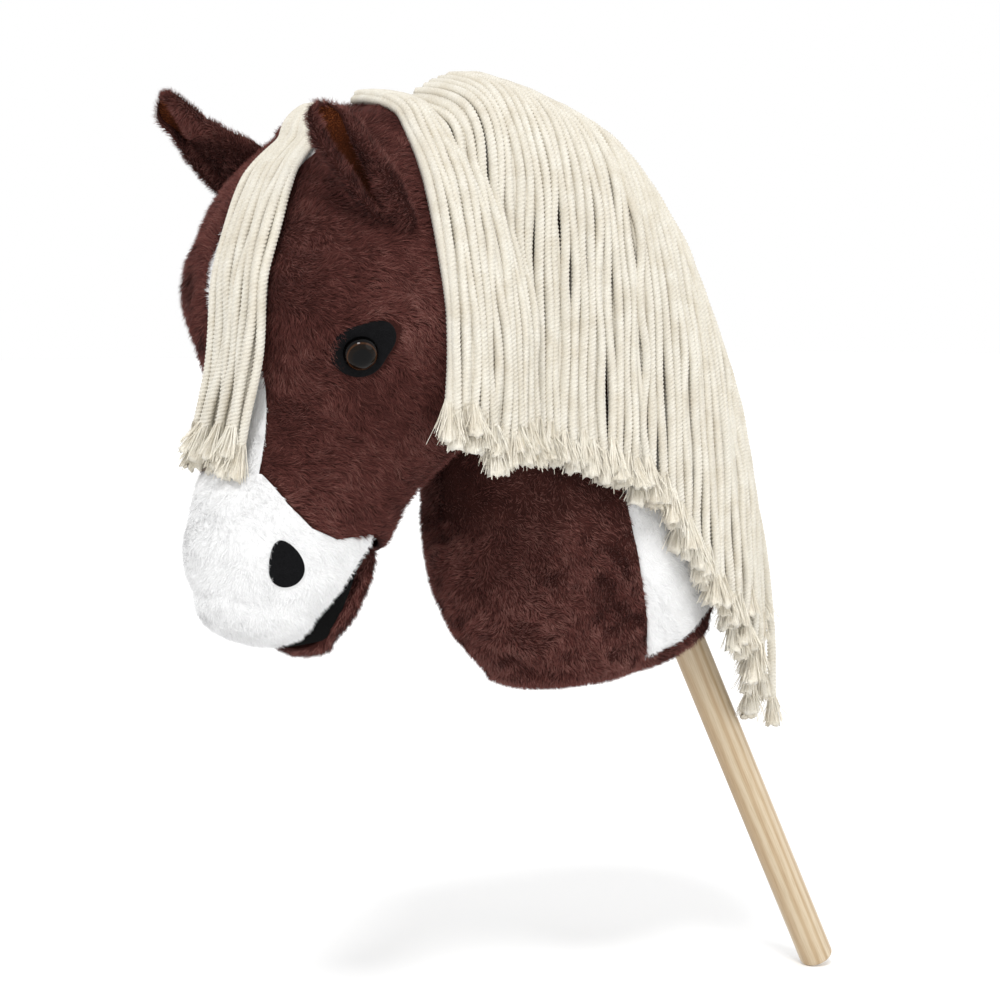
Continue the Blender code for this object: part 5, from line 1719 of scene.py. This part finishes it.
def build_stage():
    """Floor, sky, lamps and camera."""
    low, r = CAD_BOX[0].z, FLOOR_REACH
    mesh = mesh_of("floor", [(-r, -r, low), (r, -r, low), (r, r, low), (-r, r, low)], [(0, 1, 2, 3)], False)
    floor = bpy.data.objects.new("floor", mesh)
    bpy.context.scene.collection.objects.link(floor)
    material, tree, shader = new_material("floor_paper", 0.9)
    shader.inputs["Base Color"].default_value = (0.93, 0.93, 0.93, 1.0)
    shader.inputs["Specular IOR Level"].default_value = 0.0
    shader.inputs["Emission Color"].default_value = (1.0, 1.0, 1.0, 1.0)
    seen = add_node(tree, "ShaderNodeLightPath")
    glow = add_node(tree, "ShaderNodeMapRange")
    glow.inputs["To Max"].default_value = FLOOR_GLOW
    tree.links.new(seen.outputs["Is Camera Ray"], glow.inputs["Value"])
    tree.links.new(glow.outputs["Result"], shader.inputs["Emission Strength"])
    mesh.materials.append(material)

    world = bpy.data.worlds.new("studio")
    bpy.context.scene.world = world
    world.use_nodes = True
    tree = world.node_tree
    paths = add_node(tree, "ShaderNodeLightPath")
    seen = paths.outputs["Is Camera Ray"]
    for other in ("Is Glossy Ray", "Is Transmission Ray"):
        either = add_node(tree, "ShaderNodeMath", operation="MAXIMUM")
        tree.links.new(seen, either.inputs[0])
        tree.links.new(paths.outputs[other], either.inputs[1])
        seen = either.outputs[0]
    strength = add_node(tree, "ShaderNodeMapRange")
    strength.inputs["To Min"].default_value = WORLD_LIGHT
    strength.inputs["To Max"].default_value = 1.0
    tree.links.new(seen, strength.inputs["Value"])
    background = tree.nodes["Background"]
    background.inputs["Color"].default_value = (1.0, 1.0, 1.0, 1.0)
    tree.links.new(strength.outputs["Result"], background.inputs["Strength"])

    for name, place, spread, power in LAMPS:
        light = bpy.data.lights.new(name, "SUN")
        light.angle = math.radians(spread)
        light.energy = power
        lamp = bpy.data.objects.new(name, light)
        lamp.location = CAMERA_AIM + Vector(place)
        lamp.rotation_mode = "QUATERNION"
        lamp.rotation_quaternion = (-Vector(place)).to_track_quat("-Z", "Y")
        bpy.context.scene.collection.objects.link(lamp)

    back = Vector((
        math.sin(CAMERA_TURN) * math.cos(CAMERA_RISE),
        -math.cos(CAMERA_TURN) * math.cos(CAMERA_RISE),
        math.sin(CAMERA_RISE),
    ))
    data = bpy.data.cameras.new("camera")
    data.lens = CAMERA_LENS
    data.sensor_width = CAMERA_SENSOR
    camera = bpy.data.objects.new("camera", data)
    camera.location = CAMERA_AIM + back * CAMERA_DISTANCE
    camera.rotation_mode = "QUATERNION"
    camera.rotation_quaternion = (-back).to_track_quat("-Z", "Y")
    bpy.context.scene.collection.objects.link(camera)
    bpy.context.scene.camera = camera
    bpy.context.scene.view_settings.view_transform = "Standard"


def sleeve_inside(height, radius):
    """Whether the sleeve's ring at this height up the stick is inside the neck's plush."""
    along = np.array((-math.sin(STICK_LEAN), math.cos(STICK_LEAN)))
    across = np.array((math.cos(STICK_LEAN), math.sin(STICK_LEAN)))
    angle = math.tau * np.arange(16) / 16
    x, z = (along * height + np.cos(angle)[:, None] * across * radius).T
    return bool((whole_half_widths(x, z, PLUSH) > np.abs(np.sin(angle) * radius)).all())


def build_sleeve():
    """The cloth sleeve over the stick in the filling, drawn in and creased by its tie."""
    turn = stick_turn()
    top = STICK_LENGTH + GAP + SLEEVE_CLOTH
    radius = STICK_DIAMETER / 2 + GAP + SLEEVE_CLOTH
    low = next(h for h in np.arange(0.25, 0.45, 0.001) if sleeve_inside(h, radius))
    rings = []
    for height in np.linspace(low, top, 60):
        near_tie = math.exp(-((height - TIE_PLACE - TIE_HEIGHT / 2) / (2 * TIE_HEIGHT)) ** 2)
        near_top = 1.0 if height < top - 0.004 else 0.55
        ring = []
        for i in range(ROUND_POINTS):
            angle = math.tau * i / ROUND_POINTS
            crease = SLEEVE_CREASE * near_tie * math.sin(SLEEVE_CREASES * angle + 60 * height)
            around = turn @ Vector((math.cos(angle), math.sin(angle), 0.0)) * (radius + crease) * near_top
            ring.append(around + turn @ Vector((0.0, 0.0, height)))
        rings.append(ring)
    points, triangles, _ = ring_surface(rings)
    mesh = mesh_of("sleeve_cloth", points, triangles)
    add_piece("sleeve_cloth", mesh, LINEN, "head_and_stick", "stick_sleeve", slot="sleeve_cloth")


def finish_hidden_nodes():
    """A material for the small hard nodes that stay as they are in the solids."""
    for node in ("stick_tie", "eye_washer_left", "eye_washer_right"):
        for slot in frame["nodes"][node].material_slots:
            slot.material = NYLON


# What the builders share

COARSE_LOFTS = {}
HEAD_LOFT = lofted(HEAD)
NECK_LOFT = lofted(NECK)
CREST_X = np.linspace(-0.62, -0.10, 105)
CREST_Z = np.array([top_of(x, 0.0) for x in CREST_X])
FELT_SPOTS = tuple(
    (x, z, [(u * wider, v * higher) for u, v in outline])
    for x, z, outline, (wider, higher) in (
        (EYE_X, EYE_Z, eye_patch_outline(), EYE_PATCH_MARGINS),
        (NOSTRIL_X, NOSTRIL_Z, nostril_outline(), NOSTRIL_MARGINS),
    )
)


EAR_FRAMES = {seat.joint: ear_frame(seat) for seat in (LEFT_EAR, RIGHT_EAR)}
EAR_SEATINGS = {seat.joint: ear_seating(seat) for seat in (LEFT_EAR, RIGHT_EAR)}

BROWN_SHADES = ((0.0, (0.045, 0.013, 0.011)), (0.5, (0.135, 0.044, 0.037)), (1.0, (0.33, 0.16, 0.135)))
WHITE_SHADES = ((0.0, (0.80, 0.80, 0.805)), (0.5, (0.88, 0.88, 0.882)), (1.0, (0.93, 0.93, 0.93)))
RUST_SHADES = ((0.0, (0.040, 0.010, 0.004)), (0.5, (0.19, 0.044, 0.012)), (1.0, (0.42, 0.13, 0.035)))
# The number after the shades is how dark the roots are painted: painted shade among the hairs
BROWN_PILE = pile_material("brown_pile", BROWN_SHADES, 0.45, 0.04)
WHITE_PILE = pile_material("white_pile", WHITE_SHADES, 0.92, 0.0)
RUST_PILE = pile_material("rust_pile", RUST_SHADES, 0.5, 0.05)
# The plush backings are as dark as the pile's painted roots: painted shade seen between the hairs
BROWN_SKIN = skin_material("brown_backing", (0.034, 0.011, 0.009), (0.066, 0.022, 0.018))
WHITE_SKIN = skin_material("white_backing", (0.80, 0.80, 0.80), (0.86, 0.86, 0.86), 0.3, 0.9)
RUST_SKIN = skin_material("rust_backing", (0.030, 0.008, 0.004), (0.080, 0.020, 0.007))
BLACK_FELT = felt_material("black_felt_looks", (0.0035, 0.0035, 0.004), (0.014, 0.014, 0.015))
BLACK_CLOTH = felt_material("black_cloth_looks", (0.003, 0.003, 0.003), (0.010, 0.010, 0.010))
COTTON = cord_material("cotton_cord_looks", (0.765, 0.71, 0.60), (0.885, 0.85, 0.76))
BAND = woven_material("cotton_band_looks", (0.80, 0.75, 0.65))
LINEN = woven_material("sleeve_cloth_looks", (0.70, 0.66, 0.58))
FILLING = skin_material("filling_looks", (0.80, 0.80, 0.79), (0.90, 0.90, 0.89))
PINE = wood_material("pine_looks")
EYE = eye_material("eye_looks")
NYLON = plastic_material("nylon_looks", (0.75, 0.75, 0.72))

build_stage()
build_stick()
build_sleeve()
finish_hidden_nodes()
build_skins()
build_filling()
build_jaw()
build_mouth()
build_eyes()
build_ears()
build_mane()
build_tape()
build_forelock()
